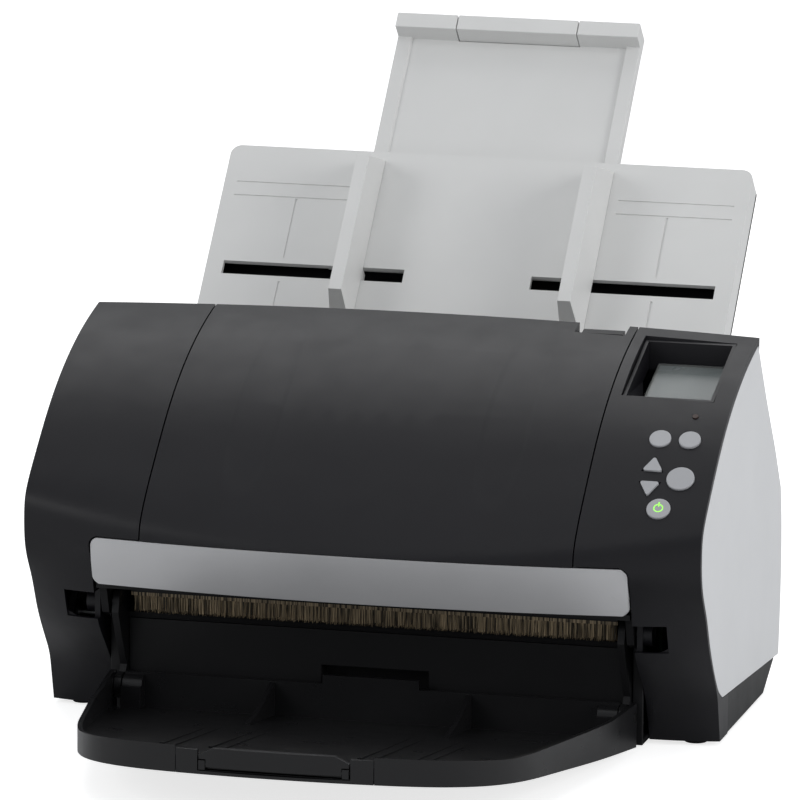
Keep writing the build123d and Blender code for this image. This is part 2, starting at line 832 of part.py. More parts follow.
feed_place = exit_point(feed_along, nip - feed_radius)
feed_idler = exit_point(feed_along, 2 * nip + idler_radius)
eject_place = exit_point(eject_along, nip - eject_radius)
pick_place = chute_point(pick_along, nip / 3 - pick_radius)
brake_place = chute_point(pick_along, nip / 3 + nip + brake_radius)
tyre_start, tyre_end = 17.0, 34.0
pick_start, pick_end = 10.0, 33.0
brake_half = 21.0

with BuildPart() as upper_paper_guide:
    path_strip(path_gap, path_gap + wall, unit_end + face_gap, -48.0, -room_half + 0.2,
               room_half - 0.2)
    slab(exit_plane(path_gap - 1), -ear_inner + 0.2, ear_inner - 0.2, feed_along - 6.3,
         feed_along + 6.3, 6.0, mode=Mode.SUBTRACT)
    slab(chute_plane(path_gap - 1), -brake_half - 1, brake_half + 1, pick_along - 8.5,
         pick_along + 8.5, 6.0, mode=Mode.SUBTRACT)
    for side in (-1, 1):
        low, high = sorted((side * ear_inner, side * ear_outer))
        slab(exit_plane(path_gap), low, high, feed_along - 4, feed_along + 4, 5.5)
        rod(low - 1, high + 1, feed_idler[0], feed_idler[1],
            idler_shaft_radius + pin_fit, mode=Mode.SUBTRACT)
        low, high = sorted((side * (brake_half + 2), side * (brake_half + 5)))
        slab(chute_plane(path_gap), low, high, pick_along - 4, pick_along + 4, 7.0)
        rod(low - 1, high + 1, brake_place[0], brake_place[1],
            idler_shaft_radius + pin_fit, mode=Mode.SUBTRACT)
        # Flanges between the front cover's two side walls.
        low, high = sorted((side * (room_half - 2.2), side * (room_half - 0.2)))
        prism(
            [exit_point(unit_end + 2, path_gap + 1), (70.0, 104.0), (104.0, 108.0),
             chute_point(-49.0, path_gap + 1), chute_point(bend_end, path_gap + 1),
             exit_point(bend_start, path_gap + 1)],
            low,
            high,
        )
keep(upper_paper_guide, "upper_paper_guide")

with BuildPart() as lower_paper_guide:
    path_strip(-wall, 0.0, 0.0, chute_foot - face_gap, -guide_half, guide_half)
    slab(exit_plane(-4), -glass_half - 1.4, glass_half + 1.4, unit_start, unit_end, 6.0,
         mode=Mode.SUBTRACT)
    for side in (-1, 1):
        low, high = sorted((side * (tyre_start - 1), side * (tyre_end + 1)))
        slab(exit_plane(-4), low, high, eject_along - 6.0, eject_along + 6.0, 6.0,
             mode=Mode.SUBTRACT)
        slab(exit_plane(-4), low, high, feed_along - 6.8, feed_along + 6.8, 8.0,
             mode=Mode.SUBTRACT)
        low, high = sorted((side * (pick_start - 1), side * (pick_end + 1)))
        slab(chute_plane(-4), low, high, pick_along - 8.6, pick_along + 8.6, 6.0,
             mode=Mode.SUBTRACT)
keep(lower_paper_guide, "lower_paper_guide")


def two_tyres(place, radius, start, end, bore):
    """Two rubber tyres on one shaft, left and right of the middle."""
    for side in (-1, 1):
        low, high = sorted((side * start, side * end))
        rod(low, high, place[0], place[1], radius)
        rod(low - 1, high + 1, place[0], place[1], bore, mode=Mode.SUBTRACT)


# Shafts run in the side frames, and their left ends carry the belt's pulleys.
shaft_left, shaft_right = 9.7 - half_width, frame_outer - 0.3
tyre_bore = shaft_radius + 0.02
belt_left, belt_right = 10.6 - half_width, 13.4 - half_width
pulley_left, pulley_right = 10.0 - half_width, 14.0 - half_width
motor_place = (75.0, 92.0)
drives = {
    "pick": (pick_place, pick_radius, pick_start, pick_end, 12.0),
    "feed": (feed_place, feed_radius, tyre_start, tyre_end, 7.3),
    "eject": (eject_place, eject_radius, tyre_start, tyre_end, 5.8),
}
motor_pulley_radius = 6.0

for name, (place, radius, start, end, pulley_radius) in drives.items():
    with BuildPart() as shaft:
        rod(shaft_left, shaft_right, place[0], place[1], shaft_radius)
    keep(shaft, name + "_shaft")
    with BuildPart() as tyres:
        two_tyres(place, radius, start, end, tyre_bore)
    keep(tyres, name + "_rollers")
    with BuildPart() as pulley:
        rod(pulley_left, pulley_right, place[0], place[1], pulley_radius)
        rod(pulley_left - 1, pulley_right + 1, place[0], place[1], tyre_bore,
            mode=Mode.SUBTRACT)
    keep(pulley, name + "_pulley")

with BuildPart() as motor_pulley:
    rod(pulley_left, pulley_right, motor_place[0], motor_place[1], motor_pulley_radius)
    rod(pulley_right, pulley_right + 8, motor_place[0], motor_place[1],
        idler_shaft_radius)
keep(motor_pulley, "motor_pulley")

with BuildPart() as motor:
    rod(16.0 - half_width, -frame_outer - 0.2, motor_place[0], motor_place[1], 14.0)
    rod(15.0 - half_width, 30.0 - half_width, motor_place[0], motor_place[1],
        idler_shaft_radius + pin_fit, mode=Mode.SUBTRACT)
keep(motor, "motor")


def belt_face(slack):
    """The belt's outline around its four pulleys."""
    with BuildSketch(side_plane(belt_left)) as face:
        for place, radius in [
            (motor_place, motor_pulley_radius),
            (pick_place, drives["pick"][4]),
            (feed_place, drives["feed"][4]),
            (eject_place, drives["eject"][4]),
        ]:
            with Locations(place):
                Circle(radius + slack)
        make_hull()
    return face.sketch


belt_slack, belt_skin = 0.25, 1.2
with BuildPart() as drive_belt:
    extrude(belt_face(belt_slack + belt_skin), amount=belt_right - belt_left)
    extrude(belt_face(belt_slack), amount=belt_right - belt_left, mode=Mode.SUBTRACT)
keep(drive_belt, "drive_belt")

for name, place in {"feed_idlers": feed_idler, "eject_idlers": eject_idler}.items():
    with BuildPart() as idlers:
        rod(-ear_outer + 0.2, ear_outer - 0.2, place[0], place[1], idler_shaft_radius)
        for side in (-1, 1):
            low, high = sorted((side * tyre_start, side * tyre_end))
            rod(low, high, place[0], place[1], idler_radius)
    keep(idlers, name)

with BuildPart() as brake_roller:
    rod(-brake_half, brake_half, brake_place[0], brake_place[1], brake_radius)
    rod(-brake_half - 4.8, brake_half + 4.8, brake_place[0], brake_place[1],
        idler_shaft_radius)
keep(brake_roller, "brake_roller")

# The chassis: two side plates joined by ties, with lugs for both hinges.
chute_seat = chute_point(-4.0, -chute_thickness - 0.2)
plate_outline = [
    (18.0, 10.9), (26.0, 10.9), (31.5, 5.2), (165.5, 5.2), (165.5, 87.0), (156.5, 102.5),
    chute_seat,
    chute_point(chute_foot - 0.4, -chute_thickness - 0.2),
    chute_point(chute_foot - 0.4, 3.0),
    (116.0, 152.0), (60.0, 134.0), (21.5, 100.0), (21.5, 59.4), (15.4, 57.0),
    (13.2, 50.0), (17.0, 42.0), (27.0, 24.0), (25.0, 21.0), (18.0, 21.0),
]

with BuildPart() as side_frames:
    for side in (-1, 1):
        low, high = sorted((side * frame_inner, side * frame_outer))
        prism(plate_outline, low, high)
        for place in (cover_pivot_depth, cover_pivot_height), (
            stacker_pivot_depth,
            stacker_pivot_height,
        ):
            rod(low, high, place[0], place[1], boss_radius)
    for place in (62.0, 13.0), (150.0, 60.0), (144.0, 22.0):
        rod(-frame_inner - 1, frame_inner + 1, place[0], place[1], 4.0)
    for side in (-1, 1):
        low, high = sorted((side * (frame_inner - 1), side * (frame_outer + 1)))
        for place in (cover_pivot_depth, cover_pivot_height), (
            stacker_pivot_depth,
            stacker_pivot_height,
        ):
            rod(low, high, place[0], place[1], pin_radius + pin_fit, mode=Mode.SUBTRACT)
        for place in (pick_place, feed_place, eject_place):
            rod(low, high, place[0], place[1], shaft_radius + pin_fit,
                mode=Mode.SUBTRACT)
keep(side_frames, "side_frames")

pin_length = pin_end - frame_inner
stacker_pin_end = frame_outer + 3.4
with BuildPart() as hinge_pins:
    for side in (-1, 1):
        for end, depth, height in [
            (pin_end - 0.2, cover_pivot_depth, cover_pivot_height),
            (stacker_pin_end, stacker_pivot_depth, stacker_pivot_height),
        ]:
            low, high = sorted((side * (end - pin_length), side * end))
            rod(low, high, depth, height, pin_radius)
keep(hinge_pins, "hinge_pins")

# The bottom pan, from behind the legs to the rear, with the wall below the exit.
# Its skirts lie flush below the side covers and rise towards the rear.
pan_low, pan_floor = 2.0, 4.5
pan_half = half_width - 4.0
pan_rear = 168.2
pan_front = 29.6
pan_wall = 2.0
pan_rim = 20.0
skirt_bend_depth = 139.7
skirt_rear_depth = 162.5
exit_lip = exit_point(0, -wall)
foot_radius = 4.8
foot_places = [(half_width - 12.0, 52.5), (half_width - 18.0, 156.0)]
screw_places = [(half_width - 50.0, 80.0), (half_width - 50.0, 150.0)]
pocket_half, pocket_back, pocket_top = 25.5, 41.0, 28.5

with BuildPart() as bottom_pan:
    block(-pan_half, pan_half, leg_heel_depth + 0.5, pan_rear, pan_low, pan_floor)
    block(-leg_inner_half + face_gap, leg_inner_half - face_gap, pan_front, 70.0, pan_low,
          pan_floor)
    block(-frame_inner + face_gap, frame_inner - face_gap, pan_front, pan_front + pan_wall,
          pan_low, exit_lip[1] - face_gap)
    for side in (-1, 1):
        low, high = sorted((side * (pan_half - 0.1), side * (half_width - 0.2)))
        prism(
            [(leg_heel_depth + 0.5, pan_low), (skirt_bend_depth, pan_low),
             (skirt_rear_depth, side_foot_height(skirt_rear_depth) - face_gap),
             (leg_heel_depth + 0.5, side_foot_height(leg_heel_depth + 0.5) - face_gap)],
            low,
            high,
        )
        low, high = sorted((side * (frame_outer + 0.4), side * (leg_inner_half - face_gap)))
        block(low, high, pan_front, pan_front + pan_wall, pan_low, 47.0)
        low, high = sorted((side * (pan_half - pan_wall), side * pan_half))
        block(low, high, leg_heel_depth + 0.5, pan_rear, pan_low, pan_rim)
        block(low, high, leg_heel_depth + 0.5, leg_heel_depth + 2.5, pan_low, pan_rim)
        for place in screw_places:
            with BuildSketch(level_plane(pan_floor - 0.5)) as boss:
                with Locations((side * place[0], place[1])):
                    Circle(4.0)
            extrude(boss.sketch, amount=8.0)
            with BuildSketch(level_plane(pan_low - 1)) as bore:
                with Locations((side * place[0], place[1])):
                    Circle(1.55)
            extrude(bore.sketch, amount=12.0, mode=Mode.SUBTRACT)
            with BuildSketch(level_plane(pan_low - 1)) as sink:
                with Locations((side * place[0], place[1])):
                    Circle(3.05)
            extrude(sink.sketch, amount=2.6, mode=Mode.SUBTRACT)
    block(-pan_half, pan_half, pan_rear - pan_wall, pan_rear, pan_low, pan_rim)
    # A pocket for the stacker's rear tab as the stacker folds up.
    block(-pocket_half, pocket_half, pan_front + pan_wall - 0.1, pocket_back, pan_low,
          pocket_top + 1.5)
    block(-24, 24, pan_front - 1, pocket_back - 1.5, 8.0, pocket_top, mode=Mode.SUBTRACT)
keep(bottom_pan, "bottom_pan")

with BuildPart() as case_screws:
    for side in (-1, 1):
        for place in screw_places:
            with BuildSketch(level_plane(pan_low + 0.1)) as head:
                with Locations((side * place[0], place[1])):
                    Circle(3.0)
            extrude(head.sketch, amount=1.5)
            with BuildSketch(level_plane(pan_low + 0.1)) as shank:
                with Locations((side * place[0], place[1])):
                    Circle(1.5)
            extrude(shank.sketch, amount=8.0)
keep(case_screws, "case_screws")

with BuildPart() as rubber_feet:
    for side in (-1, 1):
        for place in foot_places:
            with BuildSketch(level_plane(0.0)) as foot:
                with Locations((side * place[0], place[1])):
                    Circle(foot_radius)
            extrude(foot.sketch, amount=pan_low - 0.05)
keep(rubber_feet, "rubber_feet")

# The rear housing, with a mouth for the chute and openings for the sockets.
rear_top = (top_edge_depth + face_gap, top_edge_height - 1.2)
rear_bend = (rear_depth, 89.0)
rear_low = 12.0
mouth_half = chute_half + 0.4
mouth_low = 105.0
slope_length = ((rear_bend[0] - rear_top[0]) ** 2 + (rear_top[1] - rear_bend[1]) ** 2) ** 0.5
rear_out_depth = (rear_top[1] - rear_bend[1]) / slope_length
rear_out_height = (rear_bend[0] - rear_top[0]) / slope_length
socket_middle, socket_height = 84.0, 28.0
jack_radius = 3.2
jack_middle = 66.0
lock_middle = -96.0

with BuildPart() as rear_cover:
    prism(
        [rear_top, rear_bend, (rear_depth, rear_low), (rear_depth - wall, rear_low),
         (rear_depth - wall, rear_bend[1] - 0.9),
         (rear_top[0], rear_top[1] - wall / rear_out_height)],
        -shell_end,
        shell_end,
    )
    for side in (-1, 1):
        low, high = sorted((side * mouth_half, side * (mouth_half + wall)))
        prism(
            [(rear_top[0] + 0.2, rear_top[1] - 1.5), (158.0, 105.5), (140.0, 104.0),
             (rear_top[0] + 0.2, 122.0)],
            low,
            high,
        )
    block(-mouth_half, mouth_half, top_edge_depth - 5, rear_depth + 5, mouth_low, 180,
          mode=Mode.SUBTRACT)
    block(socket_middle - 6.2, socket_middle + 6.2, rear_depth - 6, rear_depth + 2,
          socket_height - 5.7, socket_height + 5.7, mode=Mode.SUBTRACT)
    block(lock_middle - 3.5, lock_middle + 3.5, rear_depth - 6, rear_depth + 2, 26.5, 29.5,
          mode=Mode.SUBTRACT)
    with BuildSketch(front_plane(rear_depth + 2)) as hole:
        with Locations((jack_middle, socket_height)):
            Circle(jack_radius + 2.3)
    extrude(hole.sketch, amount=8, mode=Mode.SUBTRACT)
keep(rear_cover, "rear_cover")

with BuildPart() as rear_sockets:
    block(54.0, 98.0, 152.0, rear_depth - wall - 0.2, socket_height - 8.0,
          socket_height + 8.0)
    block(socket_middle - 6.0, socket_middle + 6.0, rear_depth - 6, rear_depth - 0.6,
          socket_height - 5.5, socket_height + 5.5)
    with BuildSketch(front_plane(rear_depth - 0.6)) as jack:
        with Locations((jack_middle, socket_height)):
            Circle(jack_radius + 2.1)
    extrude(jack.sketch, amount=6)
    with BuildSketch(front_plane(rear_depth)) as bore:
        with Locations((jack_middle, socket_height)):
            Circle(jack_radius)
    extrude(bore.sketch, amount=10, mode=Mode.SUBTRACT)
    block(socket_middle - 4.3, socket_middle + 4.3, rear_depth - 10, rear_depth + 1,
          socket_height - 3.9, socket_height + 3.9, mode=Mode.SUBTRACT)
keep(rear_sockets, "rear_sockets")

board_side = frame_outer + 3.8
with BuildPart() as circuit_boards:
    block(board_side, board_side + 1.6, 66.0, 150.0, 12.0, 84.0)
    for depth, height in (72.0, 18.0), (144.0, 18.0), (72.0, 78.0), (144.0, 78.0):
        rod(frame_outer + 0.2, board_side + 0.5, depth, height, 3.0)
    block(board_side + 1.0, board_side + 4.4, 92.0, 108.0, 40.0, 56.0)
    block(board_side + 1.0, board_side + 3.8, 120.0, 130.0, 30.0, 44.0)
    block(board_side + 1.0, board_side + 9.0, 78.0, 84.0, 20.0, 44.0)
keep(circuit_boards, "circuit_boards")

# The two light side covers close the body's flanks.
for name, side in {"right_side_cover": 1, "left_side_cover": -1}.items():
    with BuildPart() as side_cover:
        low, high = sorted((side * side_cover_inner, side * half_width))
        extrude(side_outline(low, rim_skin + face_gap, 0.0), amount=high - low)
    keep(side_cover, name)

# The chute: a light front shell over a dark back, with the extension between.
rim_low = 0.1 - (chute_thickness - chute_skin)
rim_wall = 2.5
chute_corner = 5.0
bar_start, bar_top = 202.5, 1.5
bar_low = -12.0
extension_start = 84.0
rim_inner = 50.4
rim_top = -6.6
panel_low = -9.5
panel_skin = 1.5
tip_gap = 0.3


def chute_sheet(lift, thickness):
    """A sheet as wide and long as the chute, with two rounded top corners."""
    with BuildSketch(chute_plane(lift)) as face:
        with Locations((0, (chute_foot + chute_length) / 2)):
            Rectangle(2 * chute_half, chute_length - chute_foot)
        fillet(face.vertices().sort_by(Axis.Y)[-2:], chute_corner)
    extrude(face.sketch, amount=thickness)


with BuildPart() as chute_tray:
    chute_sheet(rim_low, -rim_low)
    slab(chute_plane(rim_low - 1), rim_wall - chute_half, chute_half - rim_wall,
         chute_foot - 1, chute_length - rim_wall, 1 - rim_low - chute_skin,
         mode=Mode.SUBTRACT)
    slab(chute_plane(rim_low - 1), -extension_half - 0.6, extension_half + 0.6,
         chute_length - rim_wall - 1, chute_length + 1, 1 - rim_low - chute_skin,
         mode=Mode.SUBTRACT)
    for side in (-1, 1):
        low, high = sorted((side * slot_start, side * slot_end))
        slab(chute_plane(-4), low, high, slot_centre - slot_width / 2,
             slot_centre + slot_width / 2, 6.0, mode=Mode.SUBTRACT)
        # Marks for the sheet's width, engraved.
        for along in (106.7, 114.0):
            low, high = sorted((side * 62.0, side * (chute_half - 6.0)))
            slab(chute_plane(-0.4), low, high, along - 0.4, along + 0.4, 1.0,
                 mode=Mode.SUBTRACT)
        low, high = sorted((side * 85.5, side * 86.5))
        slab(chute_plane(-0.4), low, high, 74.0, 106.0, 1.0, mode=Mode.SUBTRACT)
        slab(chute_plane(-0.4), low, high, 46.0, 61.0, 1.0, mode=Mode.SUBTRACT)
    with BuildSketch(chute_plane(-6.3)) as pivot:
        with Locations((0, slot_centre)):
            Circle(2.0)
    extrude(pivot.sketch, amount=5.0)
keep(chute_tray, "chute_tray")

with BuildPart() as chute_back:
    chute_sheet(-chute_thickness, chute_skin)
keep(chute_back, "chute_back")

with BuildPart() as guide_pinion:
    with BuildSketch(chute_plane(-6.1)) as disc:
        with Locations((0, slot_centre)):
            Circle(pinion_radius)
            Circle(2.0 + pin_fit, mode=Mode.SUBTRACT)
    extrude(disc.sketch, amount=3.2)
keep(guide_pinion, "guide_pinion")

rack_gap, rack_width = 0.3, 4.0
neck_half = slot_width / 2 - 0.2
neck_start, neck_end = 48.7, 53.5
rack_reach = 66.0
guide_low, guide_high = 38.0, 129.0

for name, side in {"right_side_guide": 1, "left_side_guide": -1}.items():
    with BuildPart() as guide:
        with BuildSketch(chute_plane(face_gap)) as foot:
            with Locations((side * (guide_inner + 57.8) / 2, (guide_low + guide_high) / 2)):
                Rectangle(57.8 - guide_inner, guide_high - guide_low)
        with BuildSketch(chute_plane(guide_height)) as crest:
            with Locations((side * (49.5 + 55.5) / 2, (43.5 + 116.0) / 2)):
                Rectangle(55.5 - 49.5, 116.0 - 43.5)
        loft([foot.sketch, crest.sketch])
        low, high = sorted((side * neck_start, side * neck_end))
        slab(chute_plane(-3.1), low, high, slot_centre - neck_half,
             slot_centre + neck_half, 4.0)
        rack_near = slot_centre + side * (pinion_radius + rack_gap)
        rack_far = rack_near + side * rack_width
        near, far = sorted((slot_centre - side * neck_half, rack_far))
        slab(chute_plane(-6.1), low, high, near, far, 3.2)
        low, high = sorted((-side * rack_reach, side * neck_end))
        near, far = sorted((rack_near, rack_far))
        slab(chute_plane(-6.1), low, high, near, far, 3.2)
    keep(guide, name)

with BuildPart() as chute_extension:
    slab(chute_plane(panel_low), -extension_half, extension_half, extension_start,
         bar_start + 1, panel_skin)
    for side in (-1, 1):
        low, high = sorted((side * rim_inner, side * extension_half))
        slab(chute_plane(bar_low + face_gap), low, high, extension_start,
             extension_reach, rim_top - bar_low - face_gap)
        low, high = sorted((side * (extension_tip_half + 0.4), side * extension_half))
        slab(chute_plane(bar_low), low, high, bar_start, extension_reach,
             bar_top - bar_low)
        low, high = sorted((side * (extension_tip_half + 0.4),
                            side * (extension_tip_half + 2.4)))
        slab(chute_plane(bar_low + face_gap), low, high, extension_start + 6, bar_start,
             panel_low - bar_low)
    slab(chute_plane(bar_low - 1), -extension_tip_half - 0.4, extension_tip_half + 0.4,
         bar_start - tip_gap, extension_reach + 1, 16.0, mode=Mode.SUBTRACT)
keep(chute_extension, "chute_extension")

with BuildPart() as chute_extension_tip:
    slab(chute_plane(bar_low + face_gap), -extension_tip_half, extension_tip_half, 100.0,
         bar_start + 1, panel_low - bar_low - 2 * face_gap)
    slab(chute_plane(bar_low), -extension_tip_half, extension_tip_half, bar_start,
         extension_reach, bar_top - bar_low)
keep(chute_extension_tip, "chute_extension_tip")

# The stacker: its outline from above, its side profile, and the room inside it.
stacker_outline = [(stacker_pin_end + 0.2, stacker_rear_depth),
                   (stacker_pin_end - 6.6, -30.0), (stacker_pin_end - 14.4, -72.0),
                   (stacker_pin_end - 22.8, -106.0), (stacker_pin_end - 33.1, -123.0),
                   (stacker_pin_end - 48.6, -134.0), (44.0, -140.8)]
rim_rear, rim_front = 22.0, 31.8
floor_rear, floor_front = 6.6, 27.4
stacker_wall = 2.2
front_wall_depth = -140.2
floor_end_depth = -139.8
drawer_end = -60.0
channel_lift = 3.9


def stacker_face(inset):
    right = [(x - inset, depth) for x, depth in stacker_outline]
    left = [(-x, depth) for x, depth in reversed(right)]
    with BuildSketch(level_plane(0)) as face:
        with BuildLine():
            Spline(*right, (0, inset - stacker_reach), *left)
            Line(left[-1], right[0])
        make_face()
    return face.sketch


def stacker_along(depth):
    """The place on the stacker's plane that stands at a depth."""
    return (depth - stacker_rear_depth) / cos(radians(stacker_tilt))


with BuildPart() as stacker_blank:
    extrude(stacker_face(0.0), amount=60)
    tilt = tan(radians(stacker_tilt))
    prism(
        [(stacker_rear_depth, 2.5), (-150.0, 2.5 + tilt * (150 + stacker_rear_depth)),
         (-150.0, rim_front), (-141.0, rim_front), (-108.0, 27.0), (-8.0, 21.2),
         (stacker_rear_depth, rim_rear)],
        -half_width,
        half_width,
        mode=Mode.INTERSECT,
    )

with BuildPart() as stacker_room:
    extrude(stacker_face(stacker_wall), amount=60)
    prism(
        [(stacker_rear_depth - stacker_wall, floor_rear), (front_wall_depth, floor_front),
         (front_wall_depth, 60.0), (stacker_rear_depth - stacker_wall, 60.0)],
        -half_width,
        half_width,
        mode=Mode.INTERSECT,
    )

lug_inner, lug_slot_end = frame_inner - 0.6, frame_outer + 0.6
lug_start = stacker_pin_end - pin_length - 1.0

with BuildPart() as stacker:
    add(stacker_blank.part)
    add(stacker_room.part, mode=Mode.SUBTRACT)
    block(-21.5, 21.5, 21.8, stacker_rear_depth, 15.0, 26.0)
    for side in (-1, 1):
        # Divider fins and low ridges on the floor.
        prism(
            [(22.0, 21.6), (22.0, 5.5), (-20.0, 9.0), (-20.0, 12.6), (-6.0, 14.0),
             (8.0, 17.0)],
            side * 44.0 - 1.0,
            side * 44.0 + 1.0,
        )
        for middle, start, end in (30.0, -116.0, -30.0), (36.0, -110.0, -28.0), (
            52.0, -116.0, -34.0), (58.0, -108.0, -40.0):
            floor_fall = (floor_front - floor_rear) / (21.8 - front_wall_depth)
            low = [(depth, floor_rear + (21.8 - depth) * floor_fall) for depth in
                   (start, end)]
            prism(
                [(low[0][0], low[0][1] - 0.5), (low[1][0], low[1][1] - 0.5),
                 (low[1][0], low[1][1] + 0.1), (low[0][0], low[0][1] + 0.8)],
                side * middle - 0.8,
                side * middle + 0.8,
            )
        low, high = sorted((side * lug_start, side * lug_inner))
        block(low, high, 15.0, stacker_rear_depth, 4.0, 17.0)
        rod(low, high, stacker_pivot_depth, stacker_pivot_height, 5.2)
        low, high = sorted((side * lug_inner, side * lug_slot_end))
        block(low, high, 14.4, stacker_rear_depth + 6, 0, 40, mode=Mode.SUBTRACT)
        low, high = sorted((side * lug_slot_end, side * (stacker_pin_end - 0.6)))
        rod(low, high, stacker_pivot_depth, stacker_pivot_height, 5.2)
        low, high = sorted((side * (lug_start + 0.8), side * (stacker_pin_end + 1)))
        rod(low, high, stacker_pivot_depth, stacker_pivot_height, pin_radius + pin_fit,
            mode=Mode.SUBTRACT)
        # Hollows under the floor.
        low, high = sorted((side * 46.0, side * (stacker_pin_end - 17.6)))
        slab(stacker_plane(-1), low, high, stacker_along(-58.0), stacker_along(6.0), 2.8,
             mode=Mode.SUBTRACT)
        low, high = sorted((side * 46.0, side * 86.0))
        slab(stacker_plane(-1), low, high, stacker_along(-112.0), stacker_along(-60.0),
             3.2, mode=Mode.SUBTRACT)
    # The channel of the two drawers, and the opening of the front wall.
    slab(stacker_plane(-1), -stacker_slide_half, stacker_slide_half,
         stacker_along(-150.0), stacker_along(drawer_end), channel_lift + 1,
         mode=Mode.SUBTRACT)
    block(-stacker_slide_half, stacker_slide_half, -150.0, floor_end_depth, 15.0, 40.0,
          mode=Mode.SUBTRACT)
keep(stacker, "stacker")

slide_half = stacker_slide_half - face_gap
tip_half = stacker_tip_half - face_gap
ear_start = 29.5
stopper_depth, stopper_height = -141.7, 24.7
stopper_pin = 1.0

with BuildPart() as stacker_extension_1:
    add(stacker_blank.part)
    with BuildSketch(front_plane(front_wall_depth)) as keepers:
        for side in (-1, 1):
            with Locations((side * (stacker_tip_half + 0.3 + slide_half) / 2, 25.0)):
                Rectangle(slide_half - stacker_tip_half - 0.3, 11.2)
        with Locations((0, 20.5)):
            Rectangle(2 * slide_half, 2.6)
    extrude(keepers.sketch, amount=10, mode=Mode.INTERSECT)
    slab(stacker_plane(face_gap), -slide_half, slide_half, stacker_along(-141.4),
         stacker_along(drawer_end - 0.6), 1.5)
    for side in (-1, 1):
        low, high = sorted((side * (stacker_tip_half + 0.3), side * slide_half))
        slab(stacker_plane(face_gap), low, high, stacker_along(-140.8),
             stacker_along(drawer_end - 0.6), channel_lift - 2 * face_gap)
keep(stacker_extension_1, "stacker_extension_1")

with BuildPart() as stacker_extension_2:
    slab(stacker_plane(2.1), -tip_half, tip_half, stacker_along(-139.5),
         stacker_along(drawer_end - 0.6), 1.5)
    for side in (-1, 1):
        low, high = sorted((side * ear_start, side * tip_half))
        block(low, high, -142.9, -140.1, 22.4, 26.4)
        block(low, high, -140.2, -138.0, 22.2, 23.4)
        rod(low - 1, high + 1, stopper_depth, stopper_height, stopper_pin + pin_fit,
            mode=Mode.SUBTRACT)
keep(stacker_extension_2, "stacker_extension_2")

with BuildPart() as stopper:
    add(stacker_blank.part)
    with BuildSketch(front_plane(-140.4)) as plate:
        with BuildLine():
            Polyline((-tip_half, 26.8), (tip_half, 26.8), (tip_half, 28.6),
                     (tip_half - 6.0, rim_front), (6.0 - tip_half, rim_front),
                     (-tip_half, 28.6), close=True)
        make_face()
        with Locations((0, 26.0)):
            Rectangle(2 * (ear_start - 0.3), 5.0)
    extrude(plate.sketch, amount=10, mode=Mode.INTERSECT)
    rod(-tip_half + 0.2, tip_half - 0.2, stopper_depth, stopper_height, stopper_pin)
keep(stopper, "stopper")

for piece in pieces:
    export_step(piece, "parts/" + piece.label + ".step")
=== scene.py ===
import json
from math import pi, radians

import bpy
from bpy.props import FloatProperty, FloatVectorProperty, IntProperty, PointerProperty
from mathutils import Matrix, Vector


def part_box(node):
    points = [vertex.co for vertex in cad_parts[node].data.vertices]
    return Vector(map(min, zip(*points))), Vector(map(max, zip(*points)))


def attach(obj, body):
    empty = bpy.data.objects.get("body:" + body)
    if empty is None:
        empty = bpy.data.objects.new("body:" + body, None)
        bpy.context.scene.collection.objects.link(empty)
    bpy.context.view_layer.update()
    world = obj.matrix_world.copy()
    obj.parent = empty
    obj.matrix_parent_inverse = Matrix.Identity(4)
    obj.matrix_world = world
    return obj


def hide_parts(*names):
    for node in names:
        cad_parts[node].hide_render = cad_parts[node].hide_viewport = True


bl_info = {
    "name": "Document Scanner Looks",
    "version": (1, 0, 0),
    "blender": (4, 5, 0),
    "location": "View3D > Sidebar > Scanner",
    "description": "Surface detail and finishes for a sheet-fed document scanner",
    "category": "Object",
}

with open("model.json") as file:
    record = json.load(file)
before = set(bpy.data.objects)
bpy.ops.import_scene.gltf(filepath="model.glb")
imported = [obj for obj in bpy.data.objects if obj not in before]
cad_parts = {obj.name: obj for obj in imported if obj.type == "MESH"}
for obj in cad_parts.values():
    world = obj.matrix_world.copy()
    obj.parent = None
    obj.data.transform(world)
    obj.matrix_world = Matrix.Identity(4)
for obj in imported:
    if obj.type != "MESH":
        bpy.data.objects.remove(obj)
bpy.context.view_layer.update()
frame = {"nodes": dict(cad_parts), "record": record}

# Lengths in metres and angles in degrees.
MERGE_DISTANCE = 0.00001
FLAT_ANGLE = 0.05
SMOOTH_ANGLE = 34.0
SHARP_ANGLE = 38.0
CORNER_ANGLE = 40.0
FACE_SHARE = 0.3
EDGE_SHARE = 0.4
SMALL_EDGE = 0.0004
GRIP_MIDDLES = (-0.0555, 0.0555)
GRIP_HEIGHT = 0.139
GRIP_HALF_WIDTH = 0.0105
GRIP_HALF_HEIGHT = 0.031
GRIP_DEPTH = 0.0002
BRISTLE_LENGTH = 0.0078
BRISTLE_LEAN = 0.16
BRISTLE_MARGIN = 0.001
SYMBOL_RADIUS = 0.0019
SYMBOL_WIRE = 0.00028
CAMERA_PLACE = (0.8847, -3.57423, 0.8841)
CAMERA_YAW, CAMERA_PITCH, CAMERA_ROLL = 13.94, 11.46, 0.44
CAMERA_LENS, CAMERA_SENSOR = 386.64, 36.0
CAMERA_SHIFT = (0.00175, 0.001)
CHARCOAL_SURFACE = (0.40, 2300.0, 0.000012, 0.06, 0.31)


# Settings a user would change.
def tint(label, words, colour):
    return FloatVectorProperty(
        name=label, description=words, subtype="COLOR", size=3, min=0, max=1, default=colour
    )


def length(label, words, metres):
    return FloatProperty(
        name=label, description=words, subtype="DISTANCE", unit="LENGTH", default=metres
    )


